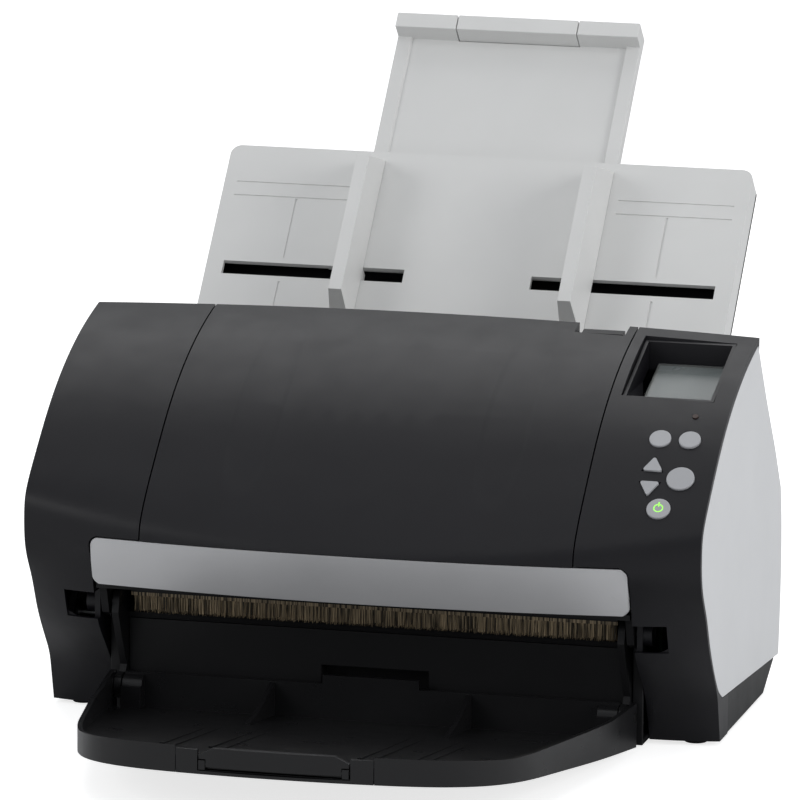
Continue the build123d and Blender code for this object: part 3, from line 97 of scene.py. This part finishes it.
class ScannerFinishes(bpy.types.PropertyGroup):
    charcoal: tint("Charcoal", "Colour of the front shells and cover", (0.0078, 0.0075, 0.0096))
    side_grey: tint("Side grey", "Colour of the side covers and housing", (0.70, 0.705, 0.715))
    chute_grey: tint("Chute grey", "Colour of the chute and its guides", (0.72, 0.72, 0.71))
    silver: tint("Silver", "Colour of the trim across the cover", (0.60, 0.60, 0.61))
    button_silver: tint("Button silver", "Colour of the keys", (0.40, 0.405, 0.42))
    inner_black: tint(
        "Inner black", "Colour of the inner parts and stacker", (0.0085, 0.0084, 0.0092)
    )
    bristle_brown: tint("Bristle brown", "Colour of the brush", (0.31, 0.24, 0.15))
    display_grey: tint("Display grey", "Colour of the unlit display", (0.06, 0.078, 0.083))


class ScannerSizes(bpy.types.PropertyGroup):
    shell_edge: length("Shell edge", "Rounding of the shells' edges", 0.0014)
    cover_edge: length("Cover edge", "Rounding of the cover's edges", 0.0006)
    side_edge: length("Side edge", "Rounding of the side covers", 0.0012)
    trim_edge: length("Trim edge", "Rounding of the silver trim", 0.0007)
    chute_edge: length("Chute edge", "Rounding of the chute's edges", 0.0007)
    guide_edge: length("Guide edge", "Rounding of the side guides", 0.0012)
    stacker_edge: length("Stacker edge", "Rounding of the stacker's rim", 0.0007)
    bristle_count: IntProperty(
        name="Bristles", description="Bristles in each row", default=420, min=50, max=900
    )
    bristle_rows: IntProperty(
        name="Bristle rows", description="Rows of bristles", default=4, min=1, max=8
    )


# Handling of objects.
def deselect():
    if bpy.context.object is not None and bpy.context.object.mode != "OBJECT":
        bpy.ops.object.mode_set(mode="OBJECT")
    bpy.ops.object.select_all(action="DESELECT")


def pick(piece):
    deselect()
    piece.select_set(True)
    bpy.context.view_layer.objects.active = piece


def settle(piece):
    """Put the piece's place into its mesh."""
    pick(piece)
    bpy.ops.object.transform_apply(location=True, rotation=True, scale=True)


def finish_with(piece, modifier):
    pick(piece)
    bpy.ops.object.modifier_apply(modifier=modifier.name)


def breadth(face, perimeter, along):
    """How far a face reaches from one of its edges."""
    corners = len(face.vertices)
    if corners > 4:
        return 2 * face.area / perimeter
    return (2 if corners == 3 else 1) * face.area / along


def edge_room(mesh, angle):
    """The room for rounding at each sharp edge, from the faces and edges beside it."""
    spans = {}
    for edge in mesh.edges:
        first, second = (mesh.vertices[v].co for v in edge.vertices)
        spans[edge.key] = max((first - second).length, 1e-7)
    beside, sharp, joined = {}, {}, {}
    for face in mesh.polygons:
        perimeter = sum(spans[key] for key in face.edge_keys)
        for key in face.edge_keys:
            reach = breadth(face, perimeter, spans[key])
            beside.setdefault(key, []).append((face.normal, reach))
    for key, faces in beside.items():
        if len(faces) == 2 and faces[0][0].angle(faces[1][0], 0) > radians(angle):
            sharp[key] = FACE_SHARE * min(faces[0][1], faces[1][1])
            for end in key:
                joined.setdefault(end, []).append(key)
    rooms = dict(sharp)
    for end, keys in joined.items():
        place = mesh.vertices[end].co
        for key in keys:
            course = mesh.vertices[key[0] + key[1] - end].co - place
            for other in keys:
                turned = mesh.vertices[other[0] + other[1] - end].co - place
                if other != key and course.angle(-turned, 0) > radians(CORNER_ANGLE):
                    rooms[key] = min(rooms[key], EDGE_SHARE * spans[other])
    return rooms


def round_edges(piece, width, segments=2):
    """Round the sharp edges, by less where the shape beside them is narrow."""
    mesh = piece.data
    rooms = edge_room(mesh, SHARP_ANGLE)
    weights = mesh.attributes.new("bevel_weight_edge", "FLOAT", "EDGE")
    for edge in mesh.edges:
        weights.data[edge.index].value = min(1.0, rooms.get(edge.key, 0.0) / width)
    bevel = piece.modifiers.new("edge", "BEVEL")
    bevel.width = width
    bevel.segments = segments
    bevel.limit_method = "WEIGHT"
    bevel.use_clamp_overlap = True
    finish_with(piece, bevel)


def smooth(piece, angle=SHARP_ANGLE):
    pick(piece)
    bpy.ops.object.shade_smooth_by_angle(angle=radians(angle))


def dressed(node, name, width, finish, segments=2):
    """A copy of a CAD node with merged points, rounded edges and a finish."""
    source = frame["nodes"][node]
    pick(source)
    bpy.ops.object.duplicate()
    piece = bpy.context.active_object
    piece.name = name
    for key in list(piece.keys()):
        del piece[key]
    piece.parent = None
    piece.matrix_world = Matrix.Identity(4)
    bpy.ops.object.mode_set(mode="EDIT")
    bpy.ops.mesh.select_all(action="SELECT")
    bpy.ops.mesh.remove_doubles(threshold=MERGE_DISTANCE)
    bpy.ops.mesh.dissolve_limited(angle_limit=radians(FLAT_ANGLE))
    bpy.ops.object.mode_set(mode="OBJECT")
    if width > 0:
        round_edges(piece, width, segments)
    smooth(piece, SMOOTH_ANGLE)
    weighted = piece.modifiers.new("weighted", "WEIGHTED_NORMAL")
    weighted.keep_sharp = True
    weighted.weight = 80
    finish_with(piece, weighted)
    coat(piece, finish)
    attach(piece, body_of(node))
    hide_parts(node)
    return piece


def body_of(node):
    for body, members in frame["record"]["behaviour"]["bodies"].items():
        if node in members:
            return body
    raise ValueError("no body holds the node " + node)


def coat(piece, finish):
    piece.data.materials.clear()
    piece.data.materials.append(finish)


def coat_node(node, finish):
    """A better finish on a CAD node that keeps its shape."""
    piece = frame["nodes"][node]
    for slot in piece.material_slots:
        slot.material = finish
    if not piece.material_slots:
        piece.data.materials.append(finish)


# Finishes. Patterns read object coordinates, in metres.
class Finish:
    """One material's node tree, built step by step."""

    def __init__(self, name):
        self.material = bpy.data.materials.new(name)
        self.material.use_nodes = True
        self.nodes = self.material.node_tree.nodes
        self.links = self.material.node_tree.links
        self.shader = self.nodes["Principled BSDF"]
        self.place = self.nodes.new("ShaderNodeTexCoord").outputs["Object"]

    def value(self, **sockets):
        for name, value in sockets.items():
            self.shader.inputs[name.replace("_", " ")].default_value = value

    def noise(self, scale, detail=3.0, stretch=None):
        place = self.place
        if stretch:
            mapping = self.nodes.new("ShaderNodeMapping")
            mapping.inputs["Scale"].default_value = stretch
            self.links.new(place, mapping.inputs["Vector"])
            place = mapping.outputs["Vector"]
        noise = self.nodes.new("ShaderNodeTexNoise")
        noise.inputs["Scale"].default_value = scale
        noise.inputs["Detail"].default_value = detail
        self.links.new(place, noise.inputs["Vector"])
        return noise.outputs["Fac"]

    def spread(self, value, low, high, start=0.3, end=0.7):
        """A value mapped to a range."""
        mapped = self.nodes.new("ShaderNodeMapRange")
        mapped.inputs["From Min"].default_value = start
        mapped.inputs["From Max"].default_value = end
        mapped.inputs["To Min"].default_value = low
        mapped.inputs["To Max"].default_value = high
        self.links.new(value, mapped.inputs["Value"])
        return mapped.outputs["Result"]

    def between(self, share, first, second):
        """A colour between two, by a share."""
        mix = self.nodes.new("ShaderNodeMix")
        mix.data_type = "RGBA"
        mix.inputs[6].default_value = (*first, 1)
        mix.inputs[7].default_value = (*second, 1)
        self.links.new(share, mix.inputs[0])
        return mix.outputs[2]

    def colour(self, output):
        self.links.new(output, self.shader.inputs["Base Color"])

    def roughness(self, output):
        self.links.new(output, self.shader.inputs["Roughness"])

    def bump(self, output, depth):
        bump = self.nodes.new("ShaderNodeBump")
        bump.inputs["Strength"].default_value = 1.0
        bump.inputs["Distance"].default_value = depth
        self.links.new(output, bump.inputs["Height"])
        previous = self.shader.inputs["Normal"].links
        if previous:
            self.links.new(previous[0].from_socket, bump.inputs["Normal"])
        self.links.new(bump.outputs["Normal"], self.shader.inputs["Normal"])


def shade(colour, factor):
    return tuple(min(1.0, c * factor) for c in colour)


def moulded(name, colour, rough, grain=1800.0, depth=0.00001, blotch=0.06, gloss=0.5):
    """Moulded plastic with a fine spark-eroded grain and slight blotches."""
    finish = Finish(name)
    finish.value(Specular_IOR_Level=gloss)
    blotches = finish.spread(finish.noise(26.0), 0.0, 1.0)
    finish.colour(
        finish.between(blotches, shade(colour, 1 - blotch), shade(colour, 1 + blotch))
    )
    finish.roughness(finish.spread(finish.noise(60.0, 4.0), rough - 0.035, rough + 0.035))
    finish.bump(finish.noise(grain, 2.0), depth)
    return finish


def metal(name, colour, rough, stretch):
    finish = Finish(name)
    finish.value(Metallic=1.0)
    lines = finish.noise(900.0, 3.0, stretch)
    finish.colour(finish.between(lines, shade(colour, 0.88), shade(colour, 1.08)))
    finish.roughness(finish.spread(lines, rough - 0.06, rough + 0.08))
    finish.bump(lines, 0.000008)
    return finish


def rubber(name, colour):
    finish = Finish(name)
    dust = finish.spread(finish.noise(140.0, 4.0), 0.0, 1.0, 0.35, 0.75)
    finish.colour(finish.between(dust, colour, shade(colour, 1.7)))
    finish.roughness(finish.spread(finish.noise(300.0), 0.62, 0.82))
    finish.bump(finish.noise(2600.0, 2.0), 0.00002)
    return finish


def clear(name, colour, rough, alpha):
    finish = Finish(name)
    finish.value(Alpha=alpha, IOR=1.49)
    finish.roughness(finish.spread(finish.noise(80.0), rough, rough + 0.03))
    finish.colour(finish.between(finish.noise(30.0), colour, shade(colour, 0.96)))
    finish.material.surface_render_method = "BLENDED"
    return finish


finishes = {}


def make_finishes():
    looks = bpy.context.scene.scanner_finishes
    finishes["charcoal"] = moulded(
        "charcoal_plastic", tuple(looks.charcoal), *CHARCOAL_SURFACE
    ).material
    finishes["cover"] = cover_plastic(tuple(looks.charcoal)).material
    finishes["inner"] = moulded(
        "inner_black_plastic", tuple(looks.inner_black), 0.46, 2600.0, 0.00001, 0.06, 0.25
    ).material
    finishes["stacker"] = moulded(
        "stacker_black_plastic", tuple(looks.inner_black), 0.30, 2400.0, 0.00001, 0.06, 0.36
    ).material
    finishes["side"] = moulded(
        "side_grey_plastic", tuple(looks.side_grey), 0.5, 2600.0, 0.000014, 0.015
    ).material
    finishes["chute"] = moulded(
        "chute_grey_plastic", tuple(looks.chute_grey), 0.5, 2600.0, 0.000012, 0.02
    ).material
    silver = moulded("silver_paint", tuple(looks.silver), 0.38, 4200.0, 0.000005, 0.03)
    silver.value(Metallic=0.35)
    finishes["silver"] = silver.material
    finishes["key"] = moulded(
        "key_plastic", tuple(looks.button_silver), 0.35, 3000.0, 0.000004, 0.02
    ).material
    finishes["steel"] = metal("ground_steel", (0.56, 0.56, 0.57), 0.3, (0.05, 1, 1)).material
    finishes["dark_steel"] = metal(
        "blackened_steel", (0.05, 0.05, 0.05), 0.4, (1, 1, 0.2)
    ).material
    finishes["rubber"] = rubber("roller_rubber", (0.018, 0.018, 0.02)).material
    finishes["feet"] = rubber("foot_rubber", (0.012, 0.012, 0.012)).material
    finishes["glass"] = clear("scan_glass", (0.7, 0.78, 0.78), 0.02, 0.35).material
    window = clear("display_window_plastic", (0.55, 0.58, 0.56), 0.08, 0.12)
    finishes["window"] = window.material
    finishes["display"] = moulded(
        "display_face", tuple(looks.display_grey), 0.25, 2000.0, 0.000002, 0.03
    ).material
    finishes["bristle"] = bristle_hair(tuple(looks.bristle_brown)).material
    finishes["board"] = moulded("board_green", (0.01, 0.09, 0.04), 0.4, 700.0, 0.00002).material
    finishes["motor"] = metal("motor_can", (0.3, 0.3, 0.31), 0.35, (1, 1, 0.1)).material
    glow = moulded("green_light", (0.25, 0.75, 0.08), 0.3)
    glow.value(Emission_Color=(0.35, 1.0, 0.1, 1), Emission_Strength=0.9)
    finishes["green"] = glow.material
    finishes["lamp"] = moulded("lamp_lens", (0.03, 0.012, 0.008), 0.45).material


def cover_plastic(colour):
    """The cover's plastic, with its two shallow oval grips."""
    finish = moulded("cover_plastic", colour, *CHARCOAL_SURFACE)
    split = finish.nodes.new("ShaderNodeSeparateXYZ")
    finish.links.new(finish.place, split.inputs["Vector"])
    heights = []
    for middle in GRIP_MIDDLES:
        across = calculate(finish, "ADD", split.outputs["X"], -middle)
        across = calculate(finish, "DIVIDE", across, GRIP_HALF_WIDTH)
        along = calculate(finish, "ADD", split.outputs["Z"], -GRIP_HEIGHT)
        along = calculate(finish, "DIVIDE", along, GRIP_HALF_HEIGHT)
        reach = calculate(
            finish,
            "ADD",
            calculate(finish, "POWER", calculate(finish, "ABSOLUTE", across), 2.6),
            calculate(finish, "POWER", calculate(finish, "ABSOLUTE", along), 2.6),
        )
        heights.append(reach)
    near = calculate(finish, "MINIMUM", heights[0], heights[1])
    mapped = finish.nodes.new("ShaderNodeMapRange")
    mapped.interpolation_type = "SMOOTHSTEP"
    mapped.inputs["From Min"].default_value = 0.5
    mapped.inputs["From Max"].default_value = 1.15
    finish.links.new(near, mapped.inputs["Value"])
    finish.bump(mapped.outputs["Result"], GRIP_DEPTH)
    return finish


def calculate(finish, operation, first, second=None):
    node = finish.nodes.new("ShaderNodeMath")
    node.operation = operation
    for index, value in enumerate((first, second)):
        if value is None:
            continue
        if isinstance(value, (int, float)):
            node.inputs[index].default_value = value
        else:
            finish.links.new(value, node.inputs[index])
    return node.outputs["Value"]


def bristle_hair(colour):
    finish = Finish("bristle_hair")
    strand = finish.noise(1100.0, 2.0, (1, 1, 0.03))
    finish.colour(
        finish.between(
            finish.spread(strand, 0, 1, 0.40, 0.60), shade(colour, 0.12), shade(colour, 1.6)
        )
    )
    finish.roughness(finish.spread(finish.noise(700.0), 0.45, 0.7))
    finish.value(Specular_IOR_Level=0.4)
    return finish


# Operators, one for each group of pieces.
class ScannerPiece:
    bl_options = {"REGISTER", "UNDO"}

    def execute(self, context):
        self.make(context.scene.scanner_sizes)
        return {"FINISHED"}


class SCANNER_OT_shells(ScannerPiece, bpy.types.Operator):
    """Make the two front shells with their legs"""

    bl_idname = "scanner.shells"
    bl_label = "Front shells"

    def make(self, sizes):
        for side in ("left", "right"):
            dressed(
                side + "_front_shell",
                side + "_shell_skin",
                sizes.shell_edge,
                finishes["charcoal"],
            )


class SCANNER_OT_cover(ScannerPiece, bpy.types.Operator):
    """Make the front cover and its release tab"""

    bl_idname = "scanner.cover"
    bl_label = "Front cover"

    def make(self, sizes):
        dressed(
            "adf_cover", "cover_skin", sizes.cover_edge, finishes["cover"]
        )
        dressed(
            "release_latch", "release_tab", SMALL_EDGE, finishes["charcoal"],
        )


class SCANNER_OT_trim(ScannerPiece, bpy.types.Operator):
    """Make the silver trim across the cover's foot"""

    bl_idname = "scanner.trim"
    bl_label = "Silver trim"

    def make(self, sizes):
        dressed("front_trim", "silver_trim", sizes.trim_edge, finishes["silver"])


class SCANNER_OT_housing(ScannerPiece, bpy.types.Operator):
    """Make the side covers, the rear housing and the base"""

    bl_idname = "scanner.housing"
    bl_label = "Housing"

    def make(self, sizes):
        for side in ("left", "right"):
            dressed(
                side + "_side_cover",
                side + "_side_panel",
                sizes.side_edge,
                finishes["side"],
                3,
            )
        dressed("rear_cover", "rear_housing", 0.0005, finishes["side"])
        dressed("bottom_pan", "base_pan", 0.0005, finishes["inner"])


class SCANNER_OT_chute(ScannerPiece, bpy.types.Operator):
    """Make the paper chute, its extension and the side guides"""

    bl_idname = "scanner.chute"
    bl_label = "Paper chute"

    def make(self, sizes):
        dressed("chute_tray", "chute_face", sizes.chute_edge, finishes["chute"])
        dressed("chute_back", "chute_rear", sizes.chute_edge, finishes["inner"])
        dressed("chute_extension", "extension_face", SMALL_EDGE, finishes["chute"])
        dressed("chute_extension_tip", "extension_tip_face", SMALL_EDGE, finishes["chute"])
        for side in ("left", "right"):
            dressed(side + "_side_guide", side + "_guide_face", sizes.guide_edge,
                    finishes["chute"], 3)


class SCANNER_OT_controls(ScannerPiece, bpy.types.Operator):
    """Make the operator panel: display, lamp and keys"""

    bl_idname = "scanner.controls"
    bl_label = "Operator panel"

    def make(self, sizes):
        for key in ("menu", "stop", "scan", "up", "down", "power"):
            dressed(key + "_button", key + "_key", 0, finishes["key"])
        dressed("display_bezel", "display_well", SMALL_EDGE, finishes["charcoal"])
        lit_symbol("power_button")
        coat_node("display_panel", finishes["display"])
        coat_node("display_window", finishes["window"])
        coat_node("check_lamp", finishes["lamp"])


def lit_symbol(node):
    """A lit ring with a bar through its top, on a key's cap."""
    cap = frame["nodes"][node].data
    face = max(cap.polygons, key=lambda side: side.area * (side.normal.z > 0.3))
    out = face.normal.copy()
    reach = max(v.co.dot(out) for v in cap.vertices)
    rim = [v.co for v in cap.vertices if v.co.dot(out) > reach - 0.0001]
    low = Vector([min(point[axis] for point in rim) for axis in range(3)])
    high = Vector([max(point[axis] for point in rim) for axis in range(3)])
    flat = out.to_track_quat("Z", "Y").to_matrix().to_4x4()
    place = Matrix.Translation((low + high) / 2 - out * 0.00005) @ flat
    deselect()
    bpy.ops.mesh.primitive_torus_add(
        major_radius=SYMBOL_RADIUS, minor_radius=SYMBOL_WIRE, major_segments=40,
        minor_segments=8,
    )
    ring = bpy.context.active_object
    deselect()
    bpy.ops.mesh.primitive_cube_add(size=1.0, location=(0, SYMBOL_RADIUS, 0.0001))
    bar = bpy.context.active_object
    bar.scale = (0.0005, 0.0021, 0.0005)
    settle(bar)
    deselect()
    bar.select_set(True)
    ring.select_set(True)
    bpy.context.view_layer.objects.active = ring
    bpy.ops.object.join()
    ring.name = "power_symbol"
    ring.matrix_world = place
    settle(ring)
    smooth(ring)
    coat(ring, finishes["green"])
    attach(ring, body_of(node))


class SCANNER_OT_brush(ScannerPiece, bpy.types.Operator):
    """Make the exit brush's bristles"""

    bl_idname = "scanner.brush"
    bl_label = "Exit brush"

    def make(self, sizes):
        low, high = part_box("exit_brush")
        top = high.z - 0.0016
        bpy.ops.object.select_all(action="DESELECT")
        bpy.ops.mesh.primitive_cone_add(
            vertices=4, radius1=0.00022, radius2=0.00008, depth=BRISTLE_LENGTH,
            end_fill_type="NOTHING", location=(0, 0, 0), rotation=(pi, 0, 0),
        )
        strand = bpy.context.active_object
        settle(strand)
        shape = [v.co.copy() for v in strand.data.vertices]
        faces = [tuple(p.vertices) for p in strand.data.polygons]
        points, sides = [], []
        rows, count = sizes.bristle_rows, sizes.bristle_count
        pitch = (high.x - low.x - 2 * BRISTLE_MARGIN) / count
        for row in range(rows):
            inward = BRISTLE_MARGIN / 2
            depth = low.y + inward + (high.y - low.y - 2 * inward) * (row + 0.5) / rows
            for index in range(count):
                chance = (index * 7919 + row * 104729) % 997 / 997
                second = (index * 6101 + row * 32452843) % 991 / 991
                third = (index * 3571 + row * 15485863) % 983 / 983
                lean = (chance - 0.5) * BRISTLE_LEAN
                tilt = (second - 0.5) * BRISTLE_LEAN
                short = 0.80 + 0.20 * third
                x = low.x + BRISTLE_MARGIN + (index + 0.5 + 0.5 * (row % 2)) * pitch
                base = len(points)
                for point in shape:
                    z = (point.z - BRISTLE_LENGTH / 2) * short
                    points.append((x + point.x + z * lean, depth + point.y + z * tilt, top + z))
                sides.extend(tuple(base + v for v in face) for face in faces)
        mesh = bpy.data.meshes.new("bristles")
        mesh.from_pydata(points, [], sides)
        strand.data = mesh
        strand.name = "brush_bristles"
        coat(strand, finishes["bristle"])
        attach(strand, "cover")
        coat_node("exit_brush", finishes["bristle"])
        coat_node("brush_holder", finishes["inner"])


class SCANNER_OT_stacker(ScannerPiece, bpy.types.Operator):
    """Make the folding stacker, its slides and the paper stop"""

    bl_idname = "scanner.stacker"
    bl_label = "Stacker"

    def make(self, sizes):
        dressed("stacker", "stacker_tray", sizes.stacker_edge, finishes["stacker"])
        dressed("stacker_extension_1", "slide_one", SMALL_EDGE, finishes["stacker"])
        dressed("stacker_extension_2", "slide_two", 0.0003, finishes["stacker"])
        dressed("stopper", "paper_stop", SMALL_EDGE, finishes["stacker"])


class SCANNER_OT_works(ScannerPiece, bpy.types.Operator):
    """Give the inner works their finishes"""

    bl_idname = "scanner.works"
    bl_label = "Inner works"

    def make(self, sizes):
        inner = ["lower_paper_guide", "upper_paper_guide", "lower_imaging_unit",
                 "upper_imaging_unit", "cover_frame", "feed_idlers", "eject_idlers",
                 "motor_pulley", "pick_pulley", "feed_pulley", "eject_pulley",
                 "rear_sockets", "guide_pinion"]
        for node in inner:
            coat_node(node, finishes["inner"])
        for node in ("pick_shaft", "feed_shaft", "eject_shaft"):
            coat_node(node, finishes["steel"])
        for node in ("hinge_pins", "case_screws"):
            coat_node(node, finishes["dark_steel"])
        for node in ("pick_rollers", "feed_rollers", "eject_rollers", "brake_roller",
                     "drive_belt"):
            coat_node(node, finishes["rubber"])
        coat_node("rubber_feet", finishes["feet"])
        coat_node("side_frames", finishes["inner"])
        coat_node("motor", finishes["motor"])
        coat_node("circuit_boards", finishes["board"])
        for node in ("lower_scan_glass", "upper_scan_glass"):
            coat_node(node, finishes["glass"])


class SCANNER_OT_stage(ScannerPiece, bpy.types.Operator):
    """Set the floor, the lights and the camera"""

    bl_idname = "scanner.stage"
    bl_label = "Stage"

    def make(self, sizes):
        scene = bpy.context.scene
        scene.view_settings.view_transform = "Standard"
        deselect()
        bpy.ops.mesh.primitive_plane_add(size=14.0, location=(0, 0, 0))
        floor = bpy.context.active_object
        floor.name = "floor"
        coat(floor, floor_finish())
        world = scene.world or bpy.data.worlds.new("studio")
        scene.world = world
        world.use_nodes = True
        tree = world.node_tree
        tree.nodes.clear()
        out = tree.nodes.new("ShaderNodeOutputWorld")
        path = tree.nodes.new("ShaderNodeLightPath")
        seen = tree.nodes.new("ShaderNodeBackground")
        soft = tree.nodes.new("ShaderNodeBackground")
        seen.inputs["Color"].default_value = (1, 1, 1, 1)
        soft.inputs["Color"].default_value = (0.93, 0.96, 1.0, 1)
        soft.inputs["Strength"].default_value = 0.40
        mix = tree.nodes.new("ShaderNodeMixShader")
        tree.links.new(path.outputs["Is Camera Ray"], mix.inputs["Fac"])
        tree.links.new(soft.outputs[0], mix.inputs[1])
        tree.links.new(seen.outputs[0], mix.inputs[2])
        tree.links.new(mix.outputs[0], out.inputs["Surface"])
        lamps = [
            ("key_light", (-2.4, -2.0, 1.6), 1.6, 26.0),
            ("right_light", (2.6, -0.6, 1.1), 1.6, 30.0),
            ("rear_light", (-0.3, 1.5, 2.6), 2.4, 27.0),
            ("high_light", (0.1, -1.4, 2.7), 1.6, 5.0),
        ]
        for name, place, size, power in lamps:
            deselect()
            bpy.ops.object.light_add(type="AREA", location=place)
            lamp = bpy.context.active_object
            lamp.name = name
            lamp.data.size = size
            lamp.data.energy = power
            aim = Vector((0, 0, 0.12)) - Vector(place)
            lamp.rotation_mode = "QUATERNION"
            lamp.rotation_quaternion = aim.to_track_quat("-Z", "Y")
        deselect()
        bpy.ops.object.camera_add(location=CAMERA_PLACE)
        camera = bpy.context.active_object
        camera.name = "camera"
        camera.rotation_mode = "QUATERNION"
        camera.rotation_quaternion = (
            Matrix.Rotation(radians(CAMERA_YAW), 4, "Z")
            @ Matrix.Rotation(radians(90 - CAMERA_PITCH), 4, "X")
            @ Matrix.Rotation(radians(CAMERA_ROLL), 4, "Z")
        ).to_quaternion()
        camera.data.sensor_width = CAMERA_SENSOR
        camera.data.lens = CAMERA_LENS
        camera.data.shift_x, camera.data.shift_y = CAMERA_SHIFT
        camera.data.clip_end = 60.0
        scene.camera = camera


def floor_finish():
    """A pale floor that the camera sees as white, with the object's shadow on it."""
    finish = Finish("pale_floor")
    tone = finish.spread(finish.noise(3.0), 0, 1)
    finish.colour(finish.between(tone, (0.70, 0.70, 0.70), (0.72, 0.72, 0.72)))
    finish.value(Roughness=0.9, Emission_Color=(1, 1, 1, 1))
    path = finish.nodes.new("ShaderNodeLightPath")
    lift = finish.spread(path.outputs["Is Camera Ray"], 0.0, 0.75, 0.0, 1.0)
    finish.links.new(lift, finish.shader.inputs["Emission Strength"])
    return finish.material


class SCANNER_PT_panel(bpy.types.Panel):
    """Lists the scanner's pieces and settings"""

    bl_label = "Document Scanner"
    bl_idname = "SCANNER_PT_panel"
    bl_space_type = "VIEW_3D"
    bl_region_type = "UI"
    bl_category = "Scanner"

    def draw(self, context):
        for operator in operators:
            self.layout.operator(operator.bl_idname)
        for group in (context.scene.scanner_sizes, context.scene.scanner_finishes):
            for name in group.__annotations__:
                self.layout.prop(group, name)


operators = (
    SCANNER_OT_stage,
    SCANNER_OT_shells,
    SCANNER_OT_cover,
    SCANNER_OT_trim,
    SCANNER_OT_housing,
    SCANNER_OT_chute,
    SCANNER_OT_controls,
    SCANNER_OT_brush,
    SCANNER_OT_stacker,
    SCANNER_OT_works,
)
classes = (ScannerFinishes, ScannerSizes, *operators, SCANNER_PT_panel)


def register():
    for kind in classes:
        bpy.utils.register_class(kind)
    bpy.types.Scene.scanner_sizes = PointerProperty(type=ScannerSizes)
    bpy.types.Scene.scanner_finishes = PointerProperty(type=ScannerFinishes)


def unregister():
    del bpy.types.Scene.scanner_finishes
    del bpy.types.Scene.scanner_sizes
    for kind in reversed(classes):
        bpy.utils.unregister_class(kind)


def main():
    register()
    make_finishes()
    bpy.ops.scanner.stage()
    bpy.ops.scanner.shells()
    bpy.ops.scanner.cover()
    bpy.ops.scanner.trim()
    bpy.ops.scanner.housing()
    bpy.ops.scanner.chute()
    bpy.ops.scanner.controls()
    bpy.ops.scanner.brush()
    bpy.ops.scanner.stacker()
    bpy.ops.scanner.works()


if __name__ == "__main__":
    main()
